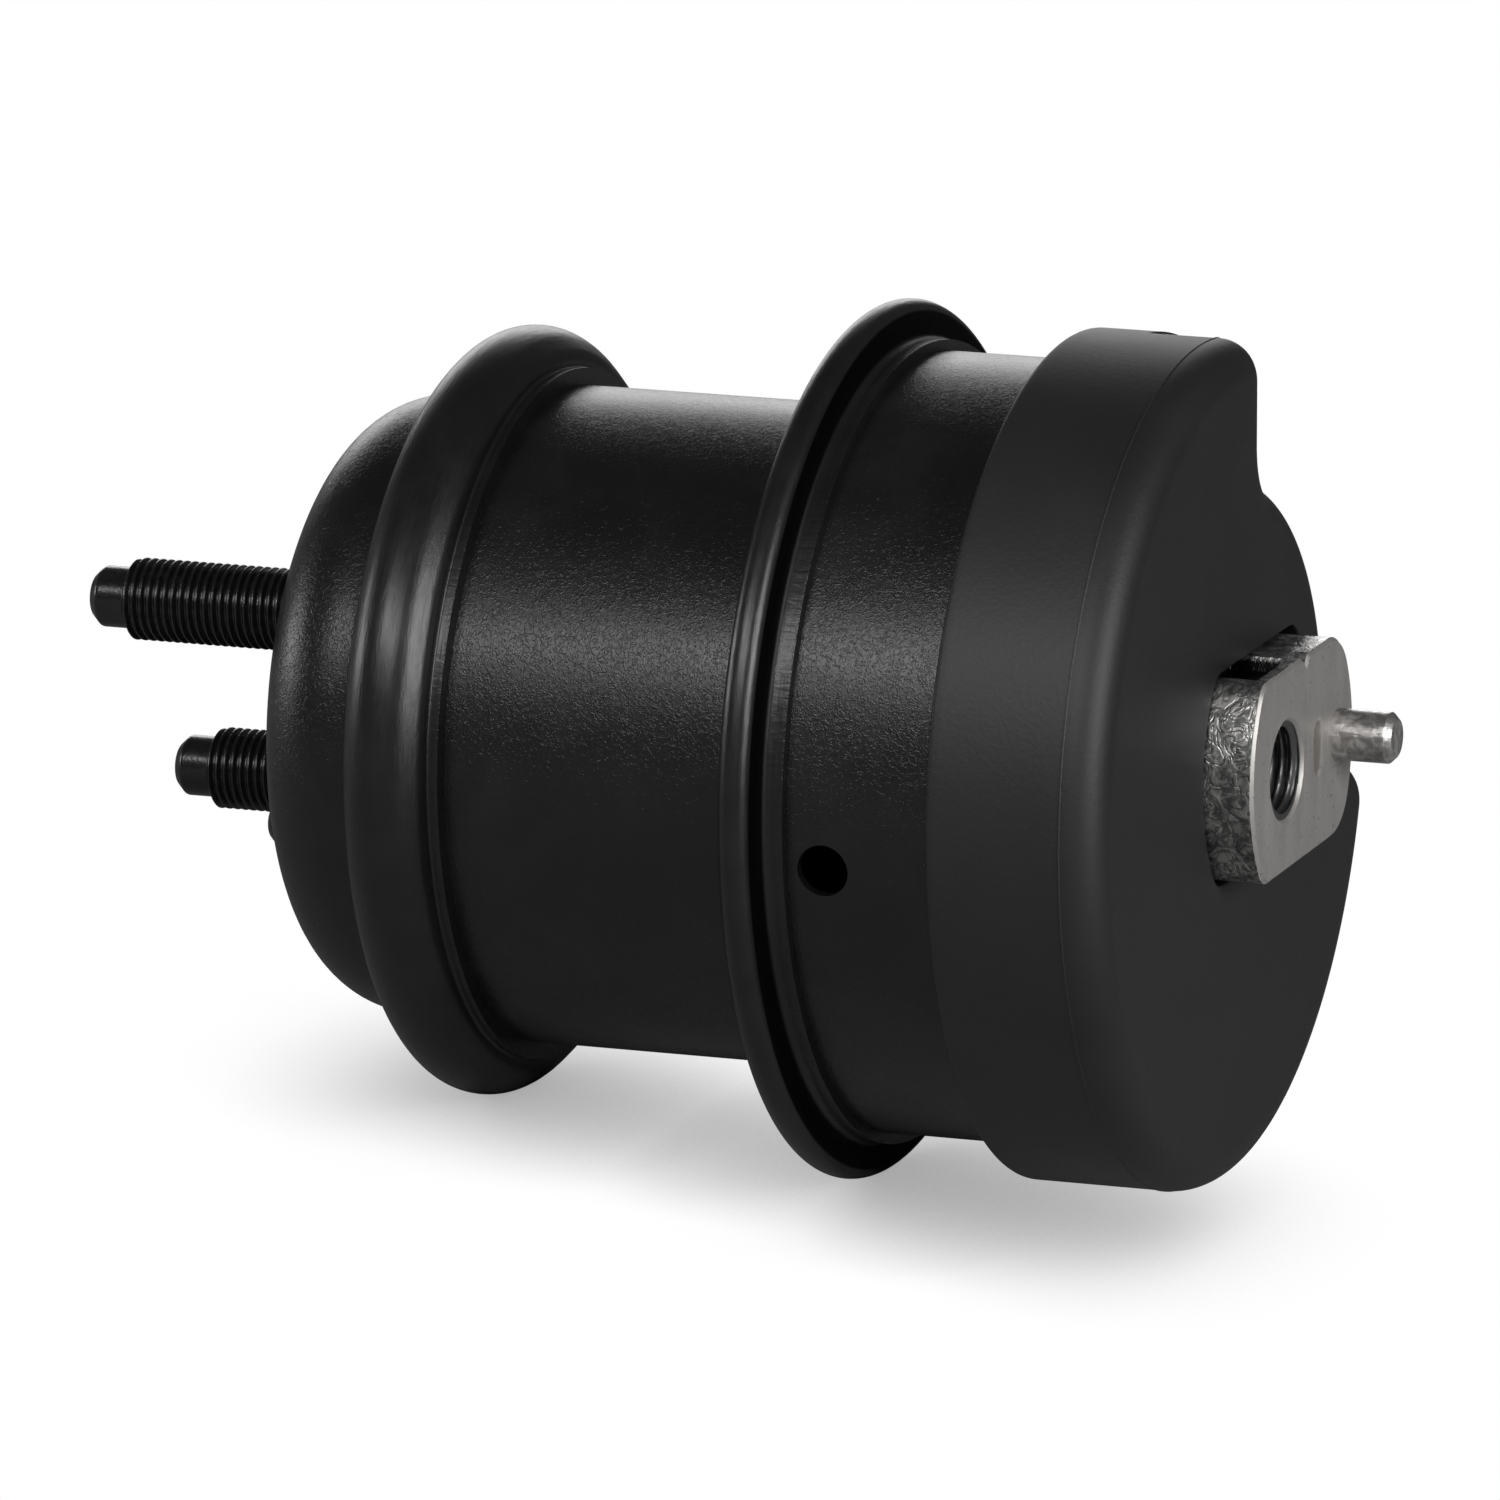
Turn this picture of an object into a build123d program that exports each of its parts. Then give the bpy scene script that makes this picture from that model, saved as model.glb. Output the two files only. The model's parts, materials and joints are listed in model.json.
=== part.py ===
from build123d import *
import math
import os

# Hydraulic engine mount lying on its side, in millimetres.
# +X runs along the mount's axis from the frame studs towards the engine boss, +Z is up.
# The origin is the centre of the base seat, which is the flat bottom of the lower cup.

# Lower cup, whose rim is rolled into the wide bead
cup_wall = 2.5
cup_step = 2.6
cup_corner = 13.0
bead_start = 18.4
bead_height = 8.2
bead_shoulder_width = 3.6
bead_shoulder_drop = 3.8
bead_round = 6.0
bead_back_bend = 2.5
bead_front_round = 3.0
bead_groove_round = 0.5
bead_collar = 1.6

# Middle shell, whose upper rim is hemmed over the flange of the upper shell
shell_wall = 1.6
shell_radius = 47.6
clamp_flange_height = 3.2
clamp_bend = 2.0
tube_length = 50.8
hem_height = 7.1
hem_bend = 2.0
hem_collar = 3.5

# Upper shell
upper_step = 8.6
upper_length = 34.6
upper_corner = 4.0
upper_mouth = 31.0
hem_play = 0.9
vent_diameter = 7.5
vent_inset = 10.4
vent_angle = 7.0

# Studs, dowel and the plate that carries them
stud_plate_play = 0.5
stud_plate_thickness = 4.0
stud_diameter = 12.0
stud_knurl_diameter = 12.8
stud_length = 34.0
stud_circle = 44.4
stud_angle = 135.0
stud_head_diameter = 18.0
stud_head_height = 3.0
dog_diameter = 8.9
dog_length = 5.5
dog_chamfer = 1.4
dog_shoulder = 1.2
dowel_diameter = 7.0
dowel_shank_diameter = 6.0
dowel_length = 6.7
dowel_chamfer = 1.2

# Clamped stack inside the wide bead
stack_height = 1.7
diaphragm_rim = 2.5
diaphragm_root = 1.0
diaphragm_wall = 2.0
diaphragm_depth = 9.0
diaphragm_fold_inset = 11.6
diaphragm_fold_width = 8.0
diaphragm_crown_radius = 20.0
diaphragm_crown_depth = 2.5
diaphragm_bend = 3.0
track_plate = 1.5
track_flange = 1.9
track_play = 2.4
track_height = 9.0
channel_rim = 5.6
channel_width = 8.0
channel_depth = 6.0
channel_wedge = 6.0
port_radius = 3.5
port_angle = 15.0
decoupler_radius = 18.0
decoupler_thickness = 3.0
decoupler_play = 0.5
decoupler_window = 14.0
grid_hole_radius = 2.2
grid_hole_count = 6
grid_circle_radius = 9.0
rivet_diameter = 3.0
rivet_head_diameter = 4.0
rivet_head_height = 0.8
rivet_count = 4

# Sleeve, main spring and inner core
sleeve_wall = 1.6
sleeve_inset = 2.2
sleeve_length = 33.0
spring_skin = 3.0
spring_hollow_bulge = 4.0
spring_top_bulge = 3.0
spring_edge = 1.5
core_tip_inset = 14.0
core_tip_radius = 12.0
core_cone_length = 32.0
core_cone_radius = 25.0
core_shoulder_length = 6.0
core_neck_radius = 14.0

# Rebound stop on the core's neck
stop_travel = 5.4
stop_pad_thickness = 3.0
stop_pad_width = 5.0
stop_plate_thickness = 4.0
stop_plate_play = 16.6

# Boss, its tapped hole and its pin
boss_stand = 7.0
boss_depth = 12.0
boss_radius = 22.4
boss_offset = 7.3
boss_flats = 29.4
boss_corner = 4.0
boss_edge = 0.5
boss_tilt = 2.0
bolt_hole_diameter = 12.4
bolt_hole_depth = 18.0
bolt_hole_tip = 3.2
bolt_mouth_diameter = 15.2
pin_diameter = 7.5
pin_shank_diameter = 7.0
pin_length = 9.0
pin_seat_depth = 9.0
pin_offset = 22.7
pin_chamfer = 1.0
pad_offset = 14.0
pad_width = 3.4
pad_length = 8.0
pad_depth = 0.4
pocket_front = 4.0
pocket_length = 6.5
pocket_start = -4.0
pocket_width = 9.0
pocket_depth = 1.6
nick_offset = 9.0
nick_width = 2.2

# Rubber cap
cap_wall = 4.8
cap_overlap = 7.3
cap_height = 18.5
cap_round = 5.5
cap_back_round = 0.8
cap_cavity_radius = 35.0
cap_face_wall = 7.0
cap_hole_gap = 0.8
notch_height = 16.0
notch_depth = 20.0
notch_flank = 11.0
notch_middle = 56.0
notch_neck_round = 3.5
notch_lobe_round = 6.5

# Radii that follow from the sizes above
cup_radius = shell_radius - cup_step
bead_radius = shell_radius + bead_height
cup_collar_radius = shell_radius + cup_wall
clamp_flange_radius = shell_radius + clamp_flange_height
shell_bore = shell_radius - shell_wall
sleeve_bore = shell_bore - sleeve_wall
upper_radius = shell_radius + upper_step
hem_radius = upper_radius + hem_height
hem_collar_radius = upper_radius + shell_wall
hem_round = 3 * shell_wall / 2
stud_plate_radius = cup_radius - cup_corner - stud_plate_play
stack_radius = shell_radius + stack_height
track_radius = shell_bore - track_play
channel_outer = track_radius - channel_rim
channel_inner = channel_outer - channel_width
channel_middle = (channel_inner + channel_outer) / 2
rivet_circle_radius = (channel_outer + track_radius) / 2
diaphragm_fold_radius = track_radius - diaphragm_fold_inset
stop_plate_radius = upper_radius - shell_wall - stop_plate_play
stop_pad_inner = stop_plate_radius - stop_pad_width
cap_radius = upper_radius + cap_wall
notch_radius = cap_radius - notch_depth

# Stations that follow from the sizes above
bead_inside = bead_start + cup_wall
track_start = bead_inside + diaphragm_rim
channel_start = track_start + track_plate
clamp_back = channel_start + track_flange
clamp_face = clamp_back + shell_wall
bead_end = clamp_face + cup_wall
hem_start = clamp_face + tube_length
hem_back = hem_start + shell_wall
hem_front = hem_back + shell_wall
hem_end = hem_front + shell_wall
vent_x = hem_front + vent_inset
upper_end = hem_front + upper_length
upper_inside_x = upper_end - shell_wall
stud_head_x = cup_wall + stud_plate_thickness
track_end = clamp_back + track_height
sleeve_end = hem_start - sleeve_inset
sleeve_start = sleeve_end - sleeve_length
core_tip_x = sleeve_start + core_tip_inset
core_cone_x = core_tip_x + core_cone_length
core_neck_x = core_cone_x + core_shoulder_length
stop_pad_start = upper_inside_x - stop_travel - stop_pad_thickness
stop_plate_start = stop_pad_start - stop_plate_thickness
cap_start = upper_end - cap_overlap
cap_face_x = upper_end + cap_height
cap_cavity_end = cap_face_x - cap_face_wall
notch_x = cap_face_x - notch_height
boss_face_x = cap_face_x + boss_stand
boss_back_x = boss_face_x - boss_depth

# Length by which a cutter runs past the face that it opens
past = 1.0


def around(radius, degrees):
    """Point (y, z) at a radius and an angle from +Y towards +Z."""
    turn = math.radians(degrees)
    return radius * math.cos(turn), radius * math.sin(turn)


def turned(profile):
    """Solid of revolution about the mount's axis, of a face drawn with x and radius."""
    return revolve(profile, Axis.X, 360)


def turned_outline(*points):
    """Solid of revolution of a closed outline of (x, radius) points."""
    return turned(make_face(Polyline(*points, close=True)))


def ring(start, end, inner, outer):
    """Plain ring or disc between two stations."""
    return turned(Pos((start + end) / 2, (inner + outer) / 2) * Rectangle(end - start, outer - inner))


def rod(start, end, radius, y=0.0, z=0.0):
    """Round bar along +X from one station to another."""
    return Pos(start, y, z) * Rot(0, 90, 0) * extrude(Circle(radius), end - start)


def across(sketch, start, end):
    """Raises a sketch drawn in Y and Z along +X between two stations."""
    plane = Plane(origin=(start, 0, 0), x_dir=(0, 1, 0), z_dir=(1, 0, 0))
    return extrude(plane * sketch, end - start)


def bent_sheet(path, radii, wall):
    """Section of one bent sheet whose visible face is the path and whose metal lies right of it.

    radii holds the bend radius of the visible face at each inner corner. The hidden face has the
    same bends, wider or tighter by the wall.
    """
    visible = [Vector(*point) for point in path]
    ways = [(after - before).normalized() for before, after in zip(visible, visible[1:])]
    hidden = [visible[0] + Vector(ways[0].Y, -ways[0].X) * wall]
    hidden_radii = []
    for point, before, after, radius in zip(visible[1:-1], ways, ways[1:], radii):
        turn = math.atan2(before.X * after.Y - before.Y * after.X, before.dot(after))
        middle = Vector(before.Y + after.Y, -before.X - after.X).normalized()
        hidden.append(point + middle * (wall / math.cos(turn / 2)))
        hidden_radii.append(radius + math.copysign(wall, turn))
    hidden.append(visible[-1] + Vector(ways[-1].Y, -ways[-1].X) * wall)
    visible_face = FilletPolyline(*visible, radius=radii)
    hidden_face = FilletPolyline(*hidden, radius=hidden_radii)
    ends = [Line(visible[0], hidden[0]), Line(visible[-1], hidden[-1])]
    return make_face(visible_face.edges() + hidden_face.edges() + ends)




def stud_places():
    """The two studs stand opposite each other on the stud circle."""
    return [around(stud_circle / 2, stud_angle), around(stud_circle / 2, stud_angle + 180)]


def dowel_place():
    """The dowel stands on the same circle, square to the line of the studs."""
    return around(stud_circle / 2, stud_angle + 90)


def drilled_for_studs(body, start, end):
    """Cuts the holes for both studs and the dowel."""
    for y, z in stud_places():
        body -= rod(start - past, end + past, stud_knurl_diameter / 2, y, z)
    y, z = dowel_place()
    return body - rod(start - past, end + past, dowel_shank_diameter / 2, y, z)


def lower_cup():
    """Drawn cup with its rim rolled over the clamped flanges and laid on the middle shell."""
    path = [
        (0, 0),
        (0, cup_radius),
        (bead_start, cup_radius),
        (bead_start, bead_radius - bead_shoulder_drop),
        (bead_start + bead_shoulder_width, bead_radius),
        (bead_end - bead_shoulder_width, bead_radius),
        (bead_end, bead_radius - bead_shoulder_drop),
        (bead_end, cup_collar_radius),
        (bead_end + bead_collar, cup_collar_radius),
    ]
    radii = [
        cup_corner,
        bead_back_bend,
        bead_round,
        bead_round,
        bead_round,
        bead_front_round,
        bead_groove_round,
    ]
    return drilled_for_studs(turned(bent_sheet(path, radii, cup_wall)), 0, cup_wall)


def stud_plate():
    """Backing plate under the cup's bottom, drilled for the studs and the dowel."""
    return drilled_for_studs(ring(cup_wall, stud_head_x, 0, stud_plate_radius), cup_wall, stud_head_x)


def frame_stud(y, z):
    """Pressed stud: head behind the plate, knurled shank in it, dog point at the free end."""
    head = stud_head_x + stud_head_height
    dog = dog_length - stud_length
    stud = turned_outline(
        (head, 0),
        (head, stud_head_diameter / 2),
        (stud_head_x, stud_head_diameter / 2),
        (stud_head_x, stud_knurl_diameter / 2),
        (0, stud_knurl_diameter / 2),
        (0, stud_diameter / 2),
        (dog + dog_shoulder, stud_diameter / 2),
        (dog, dog_diameter / 2),
        (dog_chamfer - stud_length, dog_diameter / 2),
        (-stud_length, dog_diameter / 2 - dog_chamfer),
        (-stud_length, 0),
    )
    return Pos(0, y, z) * stud


def base_dowel():
    """Shouldered dowel whose thinner shank is pressed through the cup's bottom and the plate."""
    dowel = turned_outline(
        (stud_head_x, 0),
        (stud_head_x, dowel_shank_diameter / 2),
        (0, dowel_shank_diameter / 2),
        (0, dowel_diameter / 2),
        (dowel_chamfer - dowel_length, dowel_diameter / 2),
        (-dowel_length, dowel_diameter / 2 - dowel_chamfer),
        (-dowel_length, 0),
    )
    return Pos(0, *dowel_place()) * dowel


def middle_shell():
    """Drawn tube with a clamped flange below and a hemmed flange above."""
    path = [
        (clamp_face, clamp_flange_radius),
        (clamp_face, shell_radius),
        (hem_start, shell_radius),
        (hem_start, hem_radius),
        (hem_end, hem_radius),
        (hem_end, hem_collar_radius),
        (hem_end + hem_collar, hem_collar_radius),
    ]
    radii = [clamp_bend, hem_bend, hem_round, hem_round, hem_bend]
    return turned(bent_sheet(path, radii, shell_wall))


def upper_shell():
    """Drawn cover with a flange held in the hem, a vent and an inward flange."""
    path = [
        (hem_front, hem_radius - shell_wall - hem_play),
        (hem_front, upper_radius),
        (upper_end, upper_radius),
        (upper_end, upper_mouth),
    ]
    shell = turned(bent_sheet(path, [hem_bend + shell_wall, upper_corner], shell_wall))
    y, z = around(upper_radius - shell_wall, 180 + vent_angle)
    drill = extrude(Circle(vent_diameter / 2), 2 * (shell_wall + past), both=True)
    return shell - Pos(vent_x, y, z) * Rot(vent_angle, 0, 0) * Rot(90, 0, 0) * drill


def rivet_places():
    """Evenly spaced places on the rivet circle."""
    return [around(rivet_circle_radius, i * 360 / rivet_count) for i in range(rivet_count)]


def riveted(plate, start, end):
    """Cuts the rivet holes through a plate."""
    for y, z in rivet_places():
        plate -= rod(start - past, end + past, rivet_diameter / 2, y, z)
    return plate


def grid_plate(start, radius, port):
    """Thin round plate with a grid of holes in its middle and a port over the channel."""
    end = start + track_plate
    plate = riveted(ring(start, end, 0, radius), start, end)
    holes = [(0.0, 0.0)]
    holes += [around(grid_circle_radius, i * 360 / grid_hole_count) for i in range(grid_hole_count)]
    for y, z in holes:
        plate -= rod(start - past, end + past, grid_hole_radius, y, z)
    y, z = around(channel_middle, port)
    return plate - rod(start - past, end + past, port_radius, y, z)


def track_body():
    """Cast ring with the long fluid channel, seated in the wide bead."""
    body = ring(channel_start, clamp_back, 0, stack_radius)
    body += ring(clamp_back, track_end, 0, track_radius)
    wedge_width = channel_outer - channel_inner + 2 * past
    wedge = Pos(channel_start, 0, channel_middle) * Box(2 * channel_depth, channel_wedge, wedge_width)
    body -= ring(channel_start, channel_start + channel_depth, channel_inner, channel_outer) - wedge
    y, z = around(channel_middle, 90 - port_angle)
    body -= rod(channel_start, track_end + past, port_radius, y, z)
    pocket = track_end - decoupler_thickness - 2 * decoupler_play
    body -= ring(pocket, track_end + past, 0, decoupler_radius + decoupler_play)
    body -= ring(channel_start - past, pocket + past, 0, decoupler_window)
    return riveted(body, channel_start, track_end)


def decoupler():
    """Loose rubber disc between the two grids."""
    end = track_end - decoupler_play
    return ring(end - decoupler_thickness, end, 0, decoupler_radius)


def track_rivets():
    """Rivets through both grid plates and the channel ring."""
    start = track_start
    end = track_end + track_plate
    rivets = []
    for y, z in rivet_places():
        rivet = rod(start - rivet_head_height, end + rivet_head_height, rivet_diameter / 2, y, z)
        rivet += rod(start - rivet_head_height, start, rivet_head_diameter / 2, y, z)
        rivet += rod(end, end + rivet_head_height, rivet_head_diameter / 2, y, z)
        rivets.append(rivet)
    return Compound(children=rivets)


def diaphragm():
    """Thin bellows of rubber with a thick rim, clamped under the lower plate."""
    fold_x = track_start - diaphragm_depth
    crown_x = track_start - diaphragm_crown_depth
    path = [
        (track_start, track_radius + diaphragm_root),
        (fold_x, diaphragm_fold_radius + diaphragm_fold_width / 2),
        (fold_x, diaphragm_fold_radius - diaphragm_fold_width / 2),
        (crown_x, diaphragm_crown_radius),
        (crown_x, 0),
    ]
    web = turned(bent_sheet(path, [diaphragm_bend] * 3, diaphragm_wall))
    return web + ring(bead_inside, track_start, track_radius, stack_radius)


def spring_sleeve():
    """Steel sleeve bonded round the main spring and pressed into the middle shell."""
    return ring(sleeve_start, sleeve_end, sleeve_bore, shell_bore)


def main_spring():
    """Rubber cone bonded between the core and the sleeve, hollow on the fluid's side."""
    skin = (core_tip_x - spring_skin, 0)
    skin_edge = (core_tip_x - spring_skin, core_tip_radius)
    lower_edge = (sleeve_start + spring_edge, sleeve_bore)
    upper_edge = (sleeve_end - spring_edge, sleeve_bore)
    cone_edge = (core_cone_x, core_cone_radius)
    tip_edge = (core_tip_x, core_tip_radius)
    tip = (core_tip_x, 0)
    section = [
        Line(skin, skin_edge),
        SagittaArc(skin_edge, lower_edge, spring_hollow_bulge),
        Line(lower_edge, upper_edge),
        SagittaArc(upper_edge, cone_edge, spring_top_bulge),
        Polyline(cone_edge, tip_edge, tip, skin),
    ]
    return turned(make_face([edge for line in section for edge in line.edges()]))


def boss_outline():
    """Round boss with two flats, its corners eased. Drawn with x as +Y and y as +Z."""
    outline = Pos(boss_offset, 0) * Circle(boss_radius)
    outline &= Pos(boss_offset, 0) * Rectangle(3 * boss_radius, boss_flats)
    return Rot(0, 0, boss_tilt) * fillet(outline.vertices(), boss_corner)


def pin_place():
    """The pin stands on the boss's long middle line."""
    return around(pin_offset, boss_tilt)


def boss():
    """Flatted boss with a pocket and a nick in its upper flat and a shallow pad on its face."""
    body = across(boss_outline(), boss_back_x, boss_face_x)
    body = chamfer(body.edges().group_by(Axis.X)[-1], boss_edge)
    pocket = Pos(pocket_start + pocket_width / 2, boss_flats / 2)
    pocket *= Rectangle(pocket_width, 2 * pocket_depth)
    front = boss_face_x - pocket_front
    body -= across(Rot(0, 0, boss_tilt) * pocket, front - pocket_length, front)
    nick = Pos(nick_offset, boss_flats / 2) * Rot(0, 0, 45) * Rectangle(nick_width, nick_width)
    body -= across(Rot(0, 0, boss_tilt) * nick, front, boss_face_x + past)
    pad = Pos(pad_offset, 0) * Rot(0, 0, 90) * SlotOverall(pad_length, pad_width)
    return body - across(Rot(0, 0, boss_tilt) * pad, boss_face_x - pad_depth, boss_face_x + past)


def inner_core():
    """Forged core: cone, neck and boss, with the tapped bolt hole and the pin's seat."""
    body = turned_outline(
        (core_tip_x, 0),
        (core_tip_x, core_tip_radius),
        (core_cone_x, core_cone_radius),
        (core_neck_x, core_neck_radius),
        (boss_back_x, core_neck_radius),
        (boss_back_x, 0),
    )
    body += boss()
    hole_radius = bolt_hole_diameter / 2
    mouth_radius = bolt_mouth_diameter / 2
    mouth_x = boss_face_x - (mouth_radius - hole_radius)
    bottom_x = boss_face_x - bolt_hole_depth
    body -= turned_outline(
        (bottom_x - bolt_hole_tip, 0),
        (bottom_x, hole_radius),
        (mouth_x, hole_radius),
        (boss_face_x, mouth_radius),
        (boss_face_x + past, mouth_radius),
        (boss_face_x + past, 0),
    )
    y, z = pin_place()
    seat = rod(boss_face_x - pin_seat_depth, boss_face_x + past, pin_shank_diameter / 2, y, z)
    return body - seat


def locating_pin():
    """Shouldered pin whose thinner shank is pressed into the boss."""
    end = boss_face_x + pin_length
    pin = turned_outline(
        (boss_face_x - pin_seat_depth, 0),
        (boss_face_x - pin_seat_depth, pin_shank_diameter / 2),
        (boss_face_x, pin_shank_diameter / 2),
        (boss_face_x, pin_diameter / 2),
        (end - pin_chamfer, pin_diameter / 2),
        (end, pin_diameter / 2 - pin_chamfer),
        (end, 0),
    )
    return Pos(0, *pin_place()) * pin


def stop_plate():
    """Round plate pressed on the core's neck, which limits the lift of the engine."""
    return ring(stop_plate_start, stop_pad_start, core_neck_radius, stop_plate_radius)


def stop_pad():
    """Rubber ring bonded to the stop plate."""
    return ring(stop_pad_start, stop_pad_start + stop_pad_thickness, stop_pad_inner, stop_plate_radius)


def notch_outline():
    """Sector cut out of the cap's front, between two flanks that mirror each other."""
    far = 2 * cap_radius
    flank = Pos(notch_flank + far / 2, 0) * Rectangle(far, 2 * far)
    other_flank = Rot(0, 0, 180 - 2 * notch_middle) * flank
    return (flank & other_flank) - Circle(notch_radius)


def on_rim(vertex):
    """Whether a corner of the cap's outline lies on its full radius."""
    return math.hypot(vertex.X, vertex.Y) > (notch_radius + cap_radius) / 2


def cap_front_outline():
    """Round outline with the notch, its two necks and the corners of its lobe eased."""
    outline = Circle(cap_radius) - notch_outline()
    outline = fillet([v for v in outline.vertices() if not on_rim(v)], notch_neck_round)
    lobe_corners = [v for v in outline.vertices() if math.hypot(v.X, v.Y) > cap_radius - past]
    return fillet(lobe_corners, notch_lobe_round)


def rubber_cap():
    """Moulded cap pushed over the upper shell, with a deep notch in its front."""
    back = across(Circle(cap_radius), cap_start, notch_x)
    back = fillet(back.edges().group_by(Axis.X)[0], cap_back_round)
    front = across(cap_front_outline(), notch_x, cap_face_x)
    front = fillet(front.edges().group_by(Axis.X)[-1], cap_round)
    cap = back + front
    cap -= ring(cap_start - past, upper_end, 0, upper_radius)
    cap -= ring(upper_end - past, cap_cavity_end, 0, cap_cavity_radius)
    hole = offset(boss_outline(), cap_hole_gap)
    return cap - across(hole, cap_cavity_end - past, cap_face_x + past)


upper_stud_place, lower_stud_place = stud_places()
nodes = {
    "lower_cup": lower_cup(),
    "stud_plate": stud_plate(),
    "frame_stud_upper": frame_stud(*upper_stud_place),
    "frame_stud_lower": frame_stud(*lower_stud_place),
    "base_dowel": base_dowel(),
    "diaphragm": diaphragm(),
    "track_lower_plate": grid_plate(track_start, stack_radius, 90 + port_angle),
    "track_body": track_body(),
    "track_upper_plate": grid_plate(track_end, track_radius, 90 - port_angle),
    "decoupler": decoupler(),
    "track_rivets": track_rivets(),
    "middle_shell": middle_shell(),
    "spring_sleeve": spring_sleeve(),
    "main_spring": main_spring(),
    "inner_core": inner_core(),
    "locating_pin": locating_pin(),
    "stop_plate": stop_plate(),
    "stop_pad": stop_pad(),
    "upper_shell": upper_shell(),
    "rubber_cap": rubber_cap(),
}

os.makedirs("parts", exist_ok=True)
for name, shape in nodes.items():
    export_step(shape, os.path.join("parts", name + ".step"))
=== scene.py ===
import json
import logging
import math
from dataclasses import dataclass, field
from typing import Any

import bmesh
import bpy
import numpy as np
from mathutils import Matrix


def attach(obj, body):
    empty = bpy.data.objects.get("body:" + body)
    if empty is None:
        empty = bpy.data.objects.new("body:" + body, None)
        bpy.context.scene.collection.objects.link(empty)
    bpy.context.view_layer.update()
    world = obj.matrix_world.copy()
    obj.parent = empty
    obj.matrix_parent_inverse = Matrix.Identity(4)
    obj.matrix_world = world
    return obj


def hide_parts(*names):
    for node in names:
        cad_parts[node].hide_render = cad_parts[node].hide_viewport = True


# Looks of an engine mount that lies on its side: sheet-metal shells, rubber cap, steel boss and
# studs, each worked out as a surface in metres about the mount's axis, which is X.

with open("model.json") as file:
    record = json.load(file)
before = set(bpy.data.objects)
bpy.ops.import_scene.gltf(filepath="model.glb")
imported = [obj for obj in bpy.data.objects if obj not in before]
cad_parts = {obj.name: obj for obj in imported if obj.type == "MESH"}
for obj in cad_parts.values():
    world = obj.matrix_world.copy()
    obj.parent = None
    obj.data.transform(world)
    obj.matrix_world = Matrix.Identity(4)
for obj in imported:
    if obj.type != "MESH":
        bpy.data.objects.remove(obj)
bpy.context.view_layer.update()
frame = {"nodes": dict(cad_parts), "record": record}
log = logging.getLogger("engine_mount")

MM = 0.001
BODY = "root"
TURN = 2 * math.pi
SHARP_DEGREES = 32.0

Pair = tuple[float, float]
Triple = tuple[float, float, float]
Colour = tuple[float, ...]


def rounded_path(points: list[Pair], radii: list[float], step: float) -> np.ndarray:
    """Points along a polyline whose inner corners are replaced by tangent arcs.

    An arc of radius r in a corner that turns by t starts r * tan(t / 2) before the corner, and its
    centre lies r to the inner side of the path.

    Args:
        points: corners of the path, as (x, radius) pairs in metres.
        radii: one radius for each corner but the first and the last.
        step: longest distance between neighbouring points.

    Returns:
        Rows of (x, radius), evenly spaced on each straight run and each arc.
    """
    corners = np.array(points, float)
    runs = []
    last = corners[0]
    for before, corner, after, radius in zip(corners, corners[1:], corners[2:], radii):
        way_in = (corner - before) / np.linalg.norm(corner - before)
        way_out = (after - corner) / np.linalg.norm(after - corner)
        turn = math.atan2(way_in[0] * way_out[1] - way_in[1] * way_out[0], way_in @ way_out)
        reach = radius * math.tan(abs(turn) / 2)
        start = corner - way_in * reach
        runs.append(straight_run(last, start, step))
        left = math.copysign(1.0, turn)
        centre = start + left * radius * np.array([-way_in[1], way_in[0]])
        count = max(3, math.ceil(abs(turn) * radius / step), math.ceil(abs(turn) / 0.12))
        angles = np.linspace(0, turn, count + 1)[:-1]
        spoke = start - centre
        arc_x = spoke[0] * np.cos(angles) - spoke[1] * np.sin(angles)
        arc_y = spoke[0] * np.sin(angles) + spoke[1] * np.cos(angles)
        runs.append(centre + np.column_stack([arc_x, arc_y]))
        last = corner + way_out * reach
    runs.append(straight_run(last, corners[-1], step))
    return np.vstack(runs + [corners[-1:]])


def straight_run(start: np.ndarray, end: np.ndarray, step: float) -> np.ndarray:
    """Evenly spaced points from start up to, and without, end.

    Args:
        start: first point.
        end: point that the run leads to.
        step: longest distance between neighbouring points.

    Returns:
        Rows of points, none where start and end are the same.
    """
    length = float(np.linalg.norm(end - start))
    if length < 1e-9:
        return np.empty((0, 2))
    count = max(1, math.ceil(length / step))
    shares = np.linspace(0, 1, count + 1)[:-1, None]
    return start + (end - start) * shares


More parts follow.
